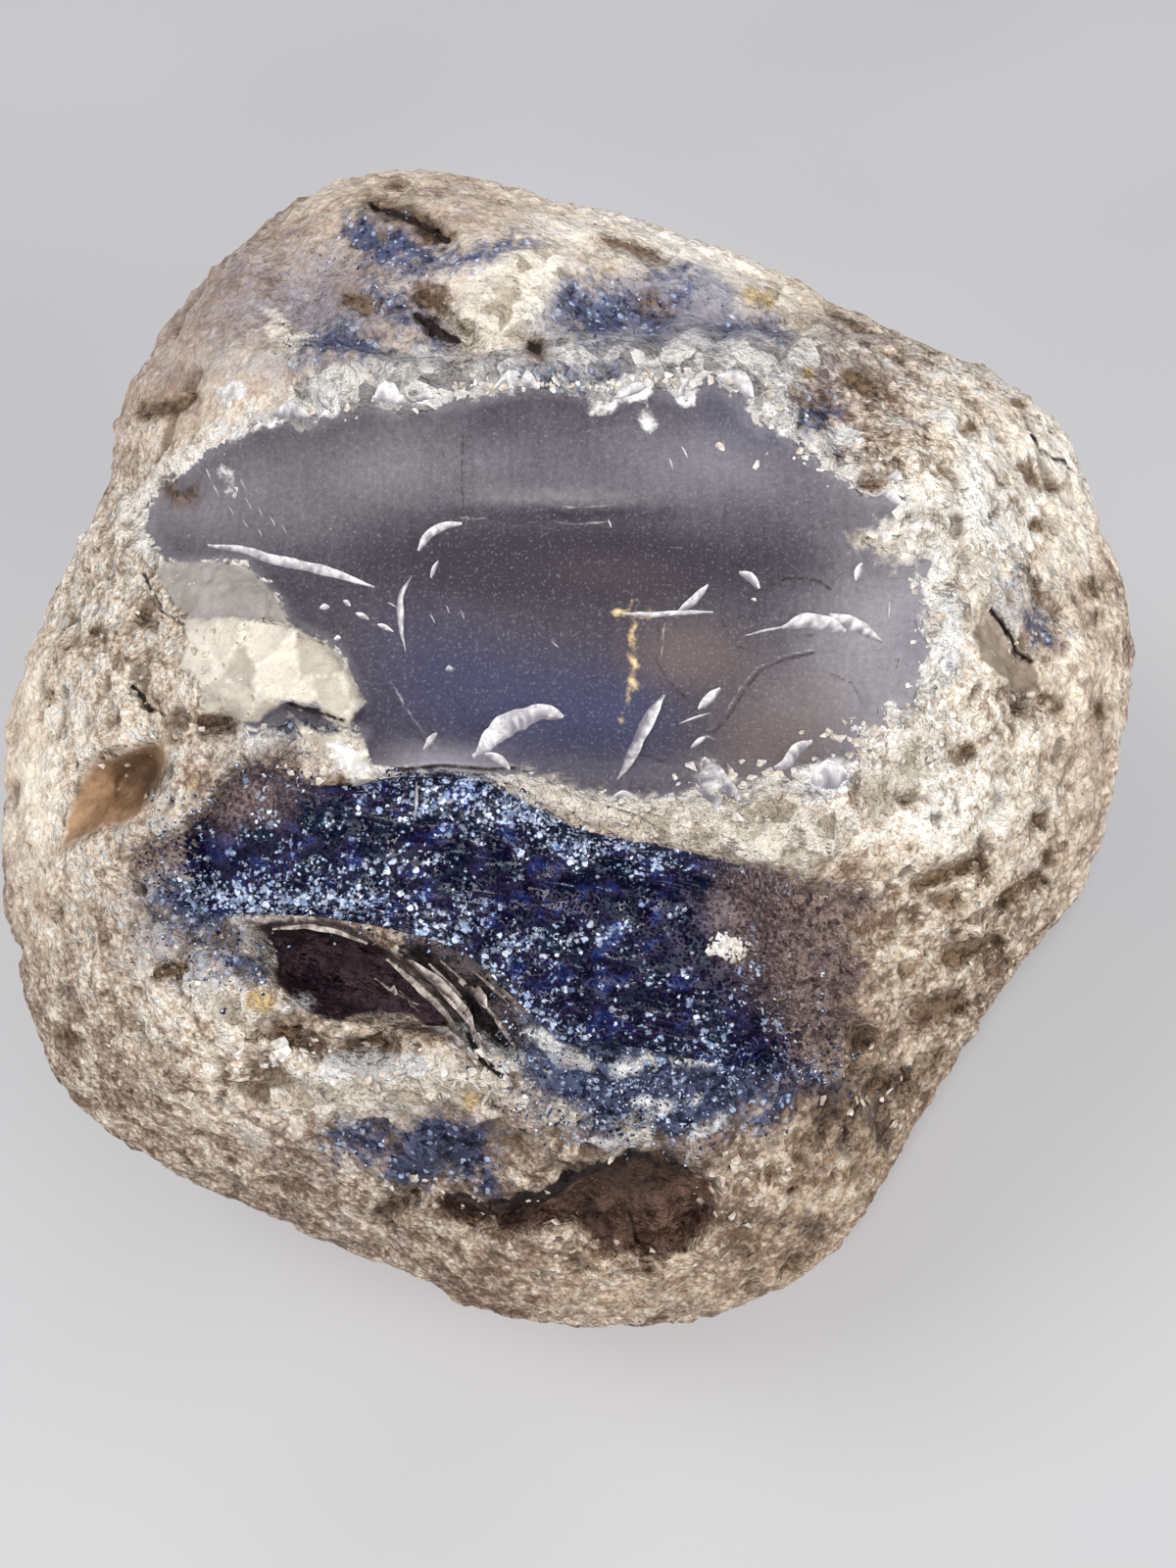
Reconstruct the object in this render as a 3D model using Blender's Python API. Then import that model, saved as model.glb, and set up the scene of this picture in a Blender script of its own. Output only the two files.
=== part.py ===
"""Agate nodule: a fist-sized stone with one broken, open face.

The stone is a single solid. Its open face looks up and forward, and carries a scooped window of
bare chalcedony, a ridge with a valley behind it, a cream ledge, an open trough and a deep cavity
below the trough. The crystals that line the trough are one thin crust, a separate solid.

Places on the face are written as (across, up) in millimetres on a flat board that stands
through the stone's middle, square to the axis that the face looks along. A place on the board
belongs to the point of the surface where the straight line from it to APEX meets the stone.
"""
import math

import bpy
import numpy as np
from mathutils import noise

MM = 0.001

# ---- Driving dimensions ----
FACE_ELEVATION = math.radians(55.0)   # the face looks this far above the horizon, towards -Y
SINE, COSINE = math.sin(FACE_ELEVATION), math.cos(FACE_ELEVATION)
APEX_DISTANCE = 200.0 * MM            # from the stone's middle to APEX, along the face axis
FRONT_DEPTH = 38.0 * MM               # from the middle to the foremost point of the face
BACK_DEPTH = 40.0 * MM                # from the middle to the rearmost point
FRONT_POWER = 2.35                    # above 2 is flatter than an ellipsoid, with fuller sides
BACK_POWER = 2.1
MIDDLE = np.array((1.9, -5.2, 43.7)) * MM   # the stone's middle, from the foot that it rests on
OUTLINE_CENTRE = (-2.0, 3.0)          # on the board, in mm
BODY_RADIUS = 44.0                    # of the stone as a whole, in mm, for places on its back
CRUST_CENTRE = (-5.0, -8.6)           # on the board, in mm
CRUST_THICKNESS = 1.1 * MM
CRUST_GAP = 0.55 * MM                 # between the crust and the bed that it lies in
CRUST_INSET = 0.8                     # from the bed's edge to the crust's edge, in mm
CRUST_SPREAD = 0.9                    # below 1 brings more of the crust's points near its rim
CRUST_RIM = 0.35                      # the smaller, the blunter the crust's rim
CRUST_GRAIN = 0.9                     # size of the crust's grains on the board, in mm
CRUST_ROUGH = 0.5 * MM                # how far they stand out
FLOOR_CUTTER = 0.2                    # side of the cube that cuts the flat spot, in metres

STONE_SUBDIVISIONS, STONE_TRIANGLES = 8, 8400
CRUST_SUBDIVISIONS, CRUST_TRIANGLES = 6, 1300
STONE_COLOUR, STONE_ROUGHNESS = (0.56, 0.49, 0.41), 0.7
CRUST_COLOUR, CRUST_ROUGHNESS = (0.05, 0.07, 0.16), 0.3

# ---- Outlines on the board, clockwise from the top, in mm ----
STONE_OUTLINE = (
    (-16.5, 50.2), (-8, 49.5), (-1, 46.8), (6, 44.9), (14, 42.6), (22, 39.3), (28.5, 35.7),
    (33, 33.3), (38, 28), (40.2, 22), (43.5, 14), (44.3, 4), (42, -5), (39.5, -10),
    (34.5, -15.5), (31.6, -19), (27.3, -25), (22.5, -35), (17.5, -40), (12, -43), (4, -44.7),
    (-5, -44), (-15.5, -39.5), (-26, -34.5), (-37.5, -29), (-44, -22), (-47.6, -11), (-48, -4),
    (-46, 8), (-43.5, 14), (-40, 22), (-38.9, 25), (-38, 30), (-34.7, 36), (-30.3, 42),
    (-27.6, 45), (-22.8, 48.6),
)
WINDOW = (
    (-28, 29), (-20, 30.2), (-12, 31), (-4, 32.3), (5, 32.3), (12, 31), (19, 26), (25, 23),
    (26, 16), (26, 8), (22, 2), (10, -1), (-4, 0.2), (-18, 1.5), (-21, 12), (-28, 17),
    (-36, 20), (-34.5, 25),
)
TROUGH = (
    (-37, -6), (-32, -2.5), (-28, 1.6), (-22, 0.2), (-14, 1), (-9, 0.8), (-3.5, -1.8), (0, -3.6),
    (8, -5.2), (16, -7), (23.5, -9), (22, -14), (21.5, -19), (20, -23.5), (12, -23.4),
    (4, -21.9), (-3, -22.4), (-9, -21.6), (-16, -19.4), (-23, -17), (-28, -14), (-35, -11),
)
CRUST_BED = (
    (-36.4, -6.2), (-31.6, -2.9), (-27.8, 1.1), (-22, -0.3), (-14, 0.6), (-9.2, 0.3), (-3.8, -2.2),
    (0, -4), (8, -5.6), (16, -7.4), (22.8, -9.4), (21.6, -14), (21, -19), (19.4, -23), (12, -23),
    (4, -21.4), (-2, -20.4), (-6, -17.4), (-10, -13.7), (-16, -11.8), (-24, -10.6), (-33.6, -10.2),
)
CAVITY = (
    (-27.5, -11.6), (-21, -11.4), (-16.5, -13.3), (-12, -17), (-9.6, -20.2), (-13, -20.4),
    (-19, -19.3), (-24, -17.6), (-25.8, -15),
)
SIDE_HOLE = (
    (-35, 3.2), (-34.2, 1.6), (-35.6, -1.6), (-39, -3.4), (-42.6, -4.6), (-42.6, -2), (-41, 1.2),
    (-38, 2.4),
)
LOWER_CAVITY = (
    (-12, -34.2), (-6, -34), (-1, -32.4), (3, -30.2), (7, -30.4), (10.6, -33), (9.6, -36.6),
    (5, -38.8), (0, -38), (-3, -35.8), (-9, -36.4),
)
CHIP = (
    (-35, 17), (-29, 17.8), (-25, 14.8), (-21, 11), (-18.4, 6.6), (-19.8, 4.7), (-23, 6.4),
    (-29, 5.6), (-33, 9),
)
LEDGE = (
    (-6, 0.6), (-1, -1), (6, -1.4), (12, -0.6), (19, 0), (24, -4), (18, -6.6), (8, -4.8),
    (0, -3.3), (-4, -1.6),
)
SHELF = ((-24, 5), (-19, 4), (-17, 1), (-21, -0.6), (-26, 2.6))

# ---- Relief on the face. Heights are along the face axis, in mm ----
# hollow or rise: outline, height at its bottom or top, width of its edge
AREAS = (
    (WINDOW, -4.4, 8.0),
    (TROUGH, -2.6, 1.5),
    (CAVITY, -5.5, 2.0),
    (SIDE_HOLE, -5.0, 3.0),
    (LOWER_CAVITY, -4.0, 2.4),
    (CHIP, 1.1, 1.0),
    (LEDGE, 1.1, 2.2),
)
AREA_SLOPE = (-0.25, 0.75)            # where an area's edge starts and ends, in widths of the edge
# broken places with flat conchoidal facets: outline, size of a facet, roughness
FACETED = ((CHIP, 3.4, 0.5), (LEDGE, 3.0, 0.4), (SHELF, 3.2, 0.5))
FACET_TILT = 1.6
FACET_SLOPE = (-0.4, 0.6)             # where the facets fade in at an outline, in mm
# dent or ridge: start, end, half width, height
STROKES = (
    ((-20, 44.5), (-13, 44), 3.6, -2.6), ((-13.5, 39), (-10, 36.4), 1.5, -2.2),
    ((-9, 40), (-3, 39), 6.0, 1.6), ((0, 38.5), (15, 37.6), 3.4, -1.4),
    ((-15, 40), (-5, 44), 9.0, 1.2), ((2, 42), (22, 37), 7.0, 0.9),
    ((-30, 34), (-22, 34.6), 4.0, 0.9), ((32.6, 13.6), (35.6, 9.2), 2.2, -2.2),
    ((35.2, 7.8), (35.4, 6.6), 1.5, -1.5), ((36.6, 17), (36.9, 13.4), 1.6, -1.3),
    ((38.6, 27.2), (38.3, 25), 1.3, -1.4), ((35.4, 26.4), (36.9, 24.8), 1.4, -1.0),
    ((27.4, -8.1), (31, -6.5), 1.2, -1.5), ((34.5, -9.4), (37.2, -8), 1.3, -1.7),
    ((37.8, -4.6), (37.7, -7), 0.9, -1.0), ((29.2, -13.9), (33, -12.9), 1.4, -1.9),
    ((26.8, -18.6), (29.4, -17.5), 1.6, -1.9), ((22.2, -20.6), (22.8, -20.9), 1.6, -2.4),
    ((22.4, -24.6), (25.2, -24.2), 1.7, -1.6), ((20.4, -27.6), (23.6, -27), 2.6, -1.4),
    ((18.1, -36.2), (18.4, -36.4), 1.1, -1.3), ((29, -9.6), (29.6, -9.5), 1.2, -0.9),
    ((30.6, 2.4), (31, 2.8), 1.1, -0.9), ((36.4, -3), (37.4, -3), 1.1, -0.9),
    ((-13.8, -13.8), (-9.6, -18.2), 1.0, -2.2), ((-9.6, -18.2), (-6.4, -21.6), 0.9, -2.0),
    ((-10.4, -16), (-8, -17.3), 0.8, -1.4), ((-19, -21), (-16.4, -20.9), 1.7, -1.8),
    ((-25, -19), (-21.6, -20.2), 1.5, -1.4), ((-30.9, 4.9), (-29.4, 5), 1.0, -1.2),
    ((-36.4, 7.8), (-34.8, 5.8), 0.8, -1.0), ((-16.8, -35.2), (-14.8, -34), 1.2, -1.3),
    ((-33.6, -14.8), (-32, -14.6), 1.1, -1.0), ((-34.6, 23.8), (-32.6, 23.2), 1.0, -0.8),
    ((-38.6, 24.2), (-36.6, 24.6), 1.2, -1.2), ((-20, -24.8), (-8, -24.6), 3.2, 1.2),
    ((-23.8, -21.6), (-21, -22.8), 1.6, 0.9), ((-2.8, -26.6), (-1.2, -26.3), 1.5, 0.7),
    ((-6, -19.4), (-3.4, -22.4), 1.4, 0.8), ((1, -22.8), (10, -22.9), 1.6, 0.8),
    ((-40, -8), (-34, -22), 9.0, 1.2), ((6, -41), (20, -33), 8.0, 0.8),
    ((28, 28), (36, 10), 8.0, 1.0), ((-9.6, 3.2), (-3, 5.8), 1.1, 0.6),
)
# the ridge's crest above the window: across, up; the valley behind it drops by RIDGE_DROP
CREST = (
    (-30, 34.6), (-26, 35.8), (-20, 34.9), (-14, 34), (-6, 34.2), (0, 36), (8, 35.8), (12, 35.4),
    (20, 36), (28, 35.2),
)
RIDGE_DROP = 5.0
RIDGE_STEP = 1.4
VALLEY_END = (5.0, 13.0)              # above the crest, where the valley starts and stops rising
CREST_FADE = 8.0                      # from each end of the crest to its full height, in mm
# where the face's relief fades in, out of the face, and where the crust's bed and the bare
# stone without lumps fade in at their outlines, in mm
FACE_SLOPE, BED_SLOPE, BARE_SLOPE = (0.02, 0.3), (-0.1, 0.5), (-1.5, 1.5)
# lumps of the weathered skin: size and height in mm
LUMPS = ((26.0, 1.5), (9.0, 0.8), (3.6, 0.35))
# hollows and swellings away from the face: direction (right, up the board, out of the face),
# radius and height in mm. The first is the foot that the stone rests on.
BACK_SWELLS = (
    ((0.02, -0.31, -0.95), 26.0, 4.2), ((0.62, 0.35, -0.70), 17.0, -2.6),
    ((-0.55, 0.62, -0.56), 14.0, -2.0), ((-0.70, -0.30, -0.65), 12.0, -1.5),
    ((0.10, 0.80, -0.60), 9.0, -1.6), ((0.90, -0.25, -0.35), 8.0, -1.4),
    ((-0.86, 0.20, -0.46), 6.0, -1.3), ((-0.15, 0.45, -0.88), 12.0, 1.4),
)
# round pits scattered over the skin
PIT_SEED = 7
PIT_COUNT = 90
PIT_RADIUS = (1.0, 2.3)               # least and greatest, in mm
PIT_DEPTH = 0.62                      # as a share of the radius
# numbers that share no factor, for scattering facets without order
SCATTER_STEPS, SCATTER_GAIN = (127.1, 311.7, 74.7), 43758.5453


def ease(value, low, high):
    """0 below low, 1 above high, and a smooth rise between them."""
    part = np.clip((value - low) / (high - low), 0.0, 1.0)
    return part * part * (3.0 - 2.0 * part)


def closed_curve(points, steps=5):
    """A smooth closed line through the points, with steps pieces from each to the next."""
    points = np.array(points, float)
    before, after = np.roll(points, 1, axis=0), np.roll(points, -1, axis=0)
    beyond = np.roll(points, -2, axis=0)
    line = []
    for part in np.arange(steps) / steps:
        line.append(0.5 * (2.0 * points + (after - before) * part
                           + (2.0 * before - 5.0 * points + 4.0 * after - beyond) * part ** 2
                           + (3.0 * points - before - 3.0 * after + beyond) * part ** 3))
    return np.stack(line, axis=1).reshape(-1, 2)


def distance_to_segment(across, up, start, end):
    run, rise = end[0] - start[0], end[1] - start[1]
    length = max(run * run + rise * rise, 1e-9)
    part = np.clip(((across - start[0]) * run + (up - start[1]) * rise) / length, 0.0, 1.0)
    return np.hypot(across - start[0] - part * run, up - start[1] - part * rise)


def depth_inside(across, up, line):
    """Distance to a closed line, positive inside it and negative outside."""
    nearest = np.full(across.shape, 1e9)
    crossings = np.zeros(across.shape, int)
    for start, end in zip(line, np.roll(line, -1, axis=0)):
        nearest = np.minimum(nearest, distance_to_segment(across, up, start, end))
        spans = (start[1] > up) != (end[1] > up)
        rise = end[1] - start[1] if end[1] != start[1] else 1e-9
        crossings += spans & (across < start[0] + (up - start[1]) * (end[0] - start[0]) / rise)
    return np.where(crossings % 2 == 1, nearest, -nearest)


def polar_radius(angle, line, centre):
    """Radius of a closed line about a centre, in each direction."""
    offset = line - np.array(centre)
    angles = np.arctan2(offset[:, 1], offset[:, 0])
    order = np.argsort(angles)
    return np.interp(angle, angles[order], np.hypot(*offset[order].T), period=2.0 * math.pi)


def scatter(column, row, salt):
    """A number from 0 to 1 for each cell of a grid, without order."""
    mixed = column * SCATTER_STEPS[0] + row * SCATTER_STEPS[1] + salt * SCATTER_STEPS[2]
    mixed = np.sin(mixed) * SCATTER_GAIN
    return mixed - np.floor(mixed)


def facets(across, up, size):
    """Flat facets that tilt every way, one for each cell of a loose grid, from about -1 to 1."""
    column, row = np.floor(across / size), np.floor(up / size)
    nearest = np.full(across.shape, 1e9)
    height = np.zeros(across.shape)
    for step_across in (-1, 0, 1):
        for step_up in (-1, 0, 1):
            cell = (column + step_across, row + step_up)
            run = across / size - cell[0] - scatter(*cell, 1)
            rise = up / size - cell[1] - scatter(*cell, 2)
            away = np.hypot(run, rise)
            plane = (scatter(*cell, 3) - 0.5 + FACET_TILT * run * (scatter(*cell, 4) - 0.5)
                     + FACET_TILT * rise * (scatter(*cell, 5) - 0.5))
            height = np.where(away < nearest, plane, height)
            nearest = np.minimum(away, nearest)
    return 2.0 * height


def relief(across, up):
    """Height of the face's own relief at places on the board, in mm."""
    height = np.zeros(across.shape)
    for outline, rise, edge in AREAS:
        inside = depth_inside(across, up, closed_curve(outline))
        height += rise * ease(inside, AREA_SLOPE[0] * edge, AREA_SLOPE[1] * edge)
    for start, end, half_width, rise in STROKES:
        away = distance_to_segment(across, up, start, end) / half_width
        height += rise * (1.0 - np.clip(away, 0.0, 1.0) ** 2) ** 2
    for outline, size, rough in FACETED:
        inside = ease(depth_inside(across, up, closed_curve(outline)), *FACET_SLOPE)
        height += inside * rough * facets(across, up, size)
    crest = np.array(CREST, float)
    above = up - np.interp(across, crest[:, 0], crest[:, 1])
    ends = ease(across, crest[0, 0], crest[0, 0] + CREST_FADE)
    ends *= ease(-across, -crest[-1, 0], -crest[-1, 0] + CREST_FADE)
    height -= RIDGE_DROP * ends * ease(above, 0.0, RIDGE_STEP) * (1.0 - ease(above, *VALLEY_END))
    return height


def to_world(across, up, height):
    """World places of points that stand at a height above the board (all in metres)."""
    shrink = (APEX_DISTANCE - height) / APEX_DISTANCE
    across, up = across * shrink, up * shrink
    places = (across, up * SINE - height * COSINE, up * COSINE + height * SINE)
    return np.stack(places, 1) + MIDDLE


def lumps(points):
    """Swellings and hollows of the weathered skin, in mm, at places in metres."""
    total = np.zeros(len(points))
    for size, height in LUMPS:
        places = points / (size * MM)
        total += height * np.array([noise.noise(place) for place in places.tolist()])
    return total


def bump(directions, middle, radius_mm):
    """1 in the middle of a round place on the skin, and 0 past its radius."""
    middle = np.array(middle) / np.linalg.norm(middle)
    away = np.linalg.norm(directions - middle, axis=1) * BODY_RADIUS / radius_mm
    return (1.0 - np.clip(away, 0.0, 1.0) ** 2) ** 2


def pits(directions):
    """Round pits of many sizes, scattered over the skin, in mm."""
    random = np.random.default_rng(PIT_SEED)
    depth = np.zeros(len(directions))
    for middle in random.normal(size=(PIT_COUNT, 3)):
        radius_mm = random.uniform(*PIT_RADIUS)
        depth = np.maximum(depth, PIT_DEPTH * radius_mm * bump(directions, middle, radius_mm))
    return -depth


def outward(directions):
    """The world direction that each point of the skin roughly faces."""
    across, up, out = directions.T
    return np.stack((across, up * SINE - out * COSINE, up * COSINE + out * SINE), 1)


def stone_places(directions):
    """World places of the stone's skin in directions (right, up the board, out of the face)."""
    across, up, out = directions.T
    front = out > 0.0
    power = np.where(front, FRONT_POWER, BACK_POWER)
    angle = np.arctan2(up, across)
    radius = polar_radius(angle, closed_curve(STONE_OUTLINE), OUTLINE_CENTRE)
    radius = radius * np.clip(np.hypot(across, up), 0.0, 1.0) ** (2.0 / power)
    across = OUTLINE_CENTRE[0] + radius * np.cos(angle)
    up = OUTLINE_CENTRE[1] + radius * np.sin(angle)
    height = np.sign(out) * np.abs(out) ** (2.0 / power)
    height = height * np.where(front, FRONT_DEPTH, BACK_DEPTH)
    face = ease(out, *FACE_SLOPE)
    crust_bed = ease(depth_inside(across, up, closed_curve(CRUST_BED)), *BED_SLOPE)
    height += face * (relief(across, up) * MM - crust_bed * (CRUST_THICKNESS + CRUST_GAP))
    places = to_world(across * MM, up * MM, height)
    bare = np.maximum.reduce([
        ease(depth_inside(across, up, closed_curve(outline)), *BARE_SLOPE)
        for outline in (WINDOW, TROUGH, CHIP, SIDE_HOLE)
    ])
    skin = 1.0 - face * bare
    swell = skin * (lumps(places) + pits(directions))
    for direction, radius_mm, height_mm in BACK_SWELLS:
        swell += height_mm * bump(directions, direction, radius_mm)
    return places + outward(directions) * (swell * MM)[:, None]


def body_height(across, up):
    """Height of the plain body under the face, in metres, at places on the board."""
    from_centre = np.hypot(across - OUTLINE_CENTRE[0], up - OUTLINE_CENTRE[1])
    around = np.arctan2(up - OUTLINE_CENTRE[1], across - OUTLINE_CENTRE[0])
    share = from_centre / polar_radius(around, closed_curve(STONE_OUTLINE), OUTLINE_CENTRE)
    return FRONT_DEPTH * (1.0 - share ** FRONT_POWER) ** (1.0 / FRONT_POWER)


def crust_places(directions):
    """World places of the crust: a rough top, a smooth underside and a thin rim."""
    line = closed_curve(CRUST_BED)
    tangent = np.roll(line, -1, axis=0) - np.roll(line, 1, axis=0)
    inward = np.stack((tangent[:, 1], -tangent[:, 0]), 1)
    line = line + CRUST_INSET * inward / np.linalg.norm(inward, axis=1)[:, None]
    across, up, out = directions.T
    angle = np.arctan2(up, across)
    radius = polar_radius(angle, line, CRUST_CENTRE)
    radius = radius * np.clip(np.hypot(across, up), 0.0, 1.0) ** CRUST_SPREAD
    across = CRUST_CENTRE[0] + radius * np.cos(angle)
    up = CRUST_CENTRE[1] + radius * np.sin(angle)
    height = body_height(across, up) + relief(across, up) * MM
    grains = zip(across / CRUST_GRAIN, up / CRUST_GRAIN)
    rough = CRUST_ROUGH * np.array([noise.cell((a, b, 0.0)) for a, b in grains])
    thick = np.abs(out) ** CRUST_RIM
    height += thick * np.where(out > 0.0, rough, -CRUST_THICKNESS)
    return to_world(across * MM, up * MM, height)


def material(name, colour, roughness):
    made = bpy.data.materials.new(name)
    made.use_nodes = True
    shader = made.node_tree.nodes["Principled BSDF"]
    shader.inputs["Base Color"].default_value = (*colour, 1.0)
    shader.inputs["Roughness"].default_value = roughness
    shader.inputs["Metallic"].default_value = 0.0
    return made


def shaped_sphere(name, subdivisions, places, collection, look):
    """A fine sphere whose points are moved by a function of their directions."""
    bpy.ops.mesh.primitive_ico_sphere_add(subdivisions=subdivisions, radius=1.0)
    made = bpy.context.object
    made.name = name
    directions = np.empty(len(made.data.vertices) * 3)
    made.data.vertices.foreach_get("co", directions)
    moved = places(directions.reshape(-1, 3))
    made.data.vertices.foreach_set("co", moved.ravel())
    made.data.materials.append(look)
    made.data.update()
    for home in made.users_collection:
        home.objects.unlink(made)
    collection.objects.link(made)
    return made


def simplify(made, triangles):
    """Merge triangles where the surface is plain, down to about the number given."""
    modifier = made.modifiers.new("simplify", "DECIMATE")
    modifier.ratio = triangles / len(made.data.polygons)


def cut_flat_spot(made, cutters):
    """Cut the stone level where it rests, at the height of the world's floor."""
    bpy.ops.mesh.primitive_cube_add(size=FLOOR_CUTTER, location=(0.0, 0.0, -FLOOR_CUTTER / 2.0))
    cutter = bpy.context.object
    cutter.name = "floor_cutter"
    cutter.hide_render = True
    cutter.display_type = "WIRE"
    for home in cutter.users_collection:
        home.objects.unlink(cutter)
    cutters.objects.link(cutter)
    modifier = made.modifiers.new("flat_spot", "BOOLEAN")
    modifier.operation = "DIFFERENCE"
    modifier.object = cutter


def main():
    for old in list(bpy.data.objects):
        bpy.data.objects.remove(old)
    agate = bpy.data.collections.new("agate")
    cutters = bpy.data.collections.new("cutters")
    bpy.context.scene.collection.children.link(agate)
    bpy.context.scene.collection.children.link(cutters)

    stone_look = material("stone", STONE_COLOUR, STONE_ROUGHNESS)
    nodule = shaped_sphere("nodule", STONE_SUBDIVISIONS, stone_places, agate, stone_look)
    simplify(nodule, STONE_TRIANGLES)
    cut_flat_spot(nodule, cutters)
    crust_look = material("druse", CRUST_COLOUR, CRUST_ROUGHNESS)
    crust = shaped_sphere("druse", CRUST_SUBDIVISIONS, crust_places, agate, crust_look)
    simplify(crust, CRUST_TRIANGLES)


main()
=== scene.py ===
"""The looks of the agate nodule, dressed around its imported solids.

The visible stone is one fine mesh. It repeats the shape of the node "nodule" and adds what is
too fine for it: grain, pits, broken facets, steps and flakes. The druse is a crust with small
crystals of its own.

Places on the face are (across, up) in millimetres on a flat board that stands through the
stone's middle, square to the axis that the face looks along. A place on the board belongs to the
point of the surface where the straight line from it to the apex meets the stone.
"""
import math

import bmesh
import bpy
import numpy as np
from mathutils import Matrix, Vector, noise


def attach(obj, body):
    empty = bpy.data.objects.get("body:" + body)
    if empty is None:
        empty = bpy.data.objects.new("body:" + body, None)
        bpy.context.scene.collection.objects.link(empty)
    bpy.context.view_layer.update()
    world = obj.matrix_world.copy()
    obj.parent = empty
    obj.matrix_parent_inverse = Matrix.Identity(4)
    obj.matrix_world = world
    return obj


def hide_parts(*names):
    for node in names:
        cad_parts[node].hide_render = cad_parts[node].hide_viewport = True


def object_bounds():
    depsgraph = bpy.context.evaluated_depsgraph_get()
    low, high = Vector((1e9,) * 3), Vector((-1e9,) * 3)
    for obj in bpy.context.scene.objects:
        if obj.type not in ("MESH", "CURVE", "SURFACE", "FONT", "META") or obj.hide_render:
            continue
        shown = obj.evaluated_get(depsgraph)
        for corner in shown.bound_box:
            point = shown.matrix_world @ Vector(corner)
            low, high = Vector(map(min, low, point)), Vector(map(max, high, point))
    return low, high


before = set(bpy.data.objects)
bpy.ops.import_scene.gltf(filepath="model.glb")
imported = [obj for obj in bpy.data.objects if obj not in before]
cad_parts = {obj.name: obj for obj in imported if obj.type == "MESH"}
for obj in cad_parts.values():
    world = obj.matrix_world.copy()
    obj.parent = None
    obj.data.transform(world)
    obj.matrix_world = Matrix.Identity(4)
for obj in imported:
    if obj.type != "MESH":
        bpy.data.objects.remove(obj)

CAD_BOX = [list(corner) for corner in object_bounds()]
MM = 0.001

# ---- The stone's own sizes, as in its solid (mm) ----
FACE_ELEVATION = math.radians(55.0)
APEX_DISTANCE = 200.0
FRONT_DEPTH, BACK_DEPTH = 38.0, 40.0
FRONT_POWER, BACK_POWER = 2.35, 2.1
MIDDLE = np.array((1.9, -5.2, 43.7))
OUTLINE_CENTRE = (-2.0, 3.0)
BODY_RADIUS = 44.0
SINE, COSINE = math.sin(FACE_ELEVATION), math.cos(FACE_ELEVATION)

STONE_OUTLINE = (
    (-16.5, 50.2), (-8, 49.5), (-1, 46.8), (6, 44.9), (14, 42.6), (22, 39.3), (28.5, 35.7),
    (33, 33.3), (38, 28), (40.2, 22), (43.5, 14), (44.3, 4), (42, -5), (39.5, -10),
    (34.5, -15.5), (31.6, -19), (27.3, -25), (22.5, -35), (17.5, -40), (12, -43), (4, -44.7),
    (-5, -44), (-15.5, -39.5), (-26, -34.5), (-37.5, -29), (-44, -22), (-47.6, -11), (-48, -4),
    (-46, 8), (-43.5, 14), (-40, 22), (-38.9, 25), (-38, 30), (-34.7, 36), (-30.3, 42),
    (-27.6, 45), (-22.8, 48.6),
)
WINDOW = (
    (-28, 29), (-20, 30.2), (-12, 31), (-4, 32.3), (5, 32.3), (12, 31), (19, 26), (25, 23),
    (26, 16), (26, 8), (22, 2), (10, -1), (-4, 0.2), (-18, 1.5), (-21, 12), (-28, 17),
    (-36, 20), (-34.5, 25),
)
TROUGH = (
    (-37, -6), (-32, -2.5), (-28, 1.6), (-22, 0.2), (-14, 1), (-9, 0.8), (-3.5, -1.8), (0, -3.6),
    (8, -5.2), (16, -7), (23.5, -9), (22, -14), (21.5, -19), (20, -23.5), (12, -23.4),
    (4, -21.9), (-3, -22.4), (-9, -21.6), (-16, -19.4), (-23, -17), (-28, -14), (-35, -11),
)
CRUST_BED = (
    (-36.4, -6.2), (-31.6, -2.9), (-27.8, 1.1), (-22, -0.3), (-14, 0.6), (-9.2, 0.3), (-3.8, -2.2),
    (0, -4), (8, -5.6), (16, -7.4), (22.8, -9.4), (21.6, -14), (21, -19), (19.4, -23), (12, -23),
    (4, -21.4), (-2, -20.4), (-6, -17.4), (-10, -13.7), (-16, -11.8), (-24, -10.6), (-33.6, -10.2),
)
CAVITY = (
    (-27.5, -11.6), (-21, -11.4), (-16.5, -13.3), (-12, -17), (-9.6, -20.2), (-13, -20.4),
    (-19, -19.3), (-24, -17.6), (-25.8, -15),
)
SIDE_HOLE = (
    (-35, 3.2), (-34.2, 1.6), (-35.6, -1.6), (-39, -3.4), (-42.6, -4.6), (-42.6, -2), (-41, 1.2),
    (-38, 2.4),
)
LOWER_CAVITY = (
    (-12, -34.2), (-6, -34), (-1, -32.4), (3, -30.2), (7, -30.4), (10.6, -33), (9.6, -36.6),
    (5, -38.8), (0, -38), (-3, -35.8), (-9, -36.4),
)
CHIP = (
    (-35, 17), (-29, 17.8), (-25, 14.8), (-21, 11), (-18.4, 6.6), (-19.8, 4.7), (-23, 6.4),
    (-29, 5.6), (-33, 9),
)
LEDGE = (
    (-6, 0.6), (-1, -1), (6, -1.4), (12, -0.6), (19, 0), (24, -4), (18, -6.6), (8, -4.8),
    (0, -3.3), (-4, -1.6),
)
SHELF = ((-24, 5), (-19, 4), (-17, 1), (-21, -0.6), (-26, 2.6))

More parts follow.
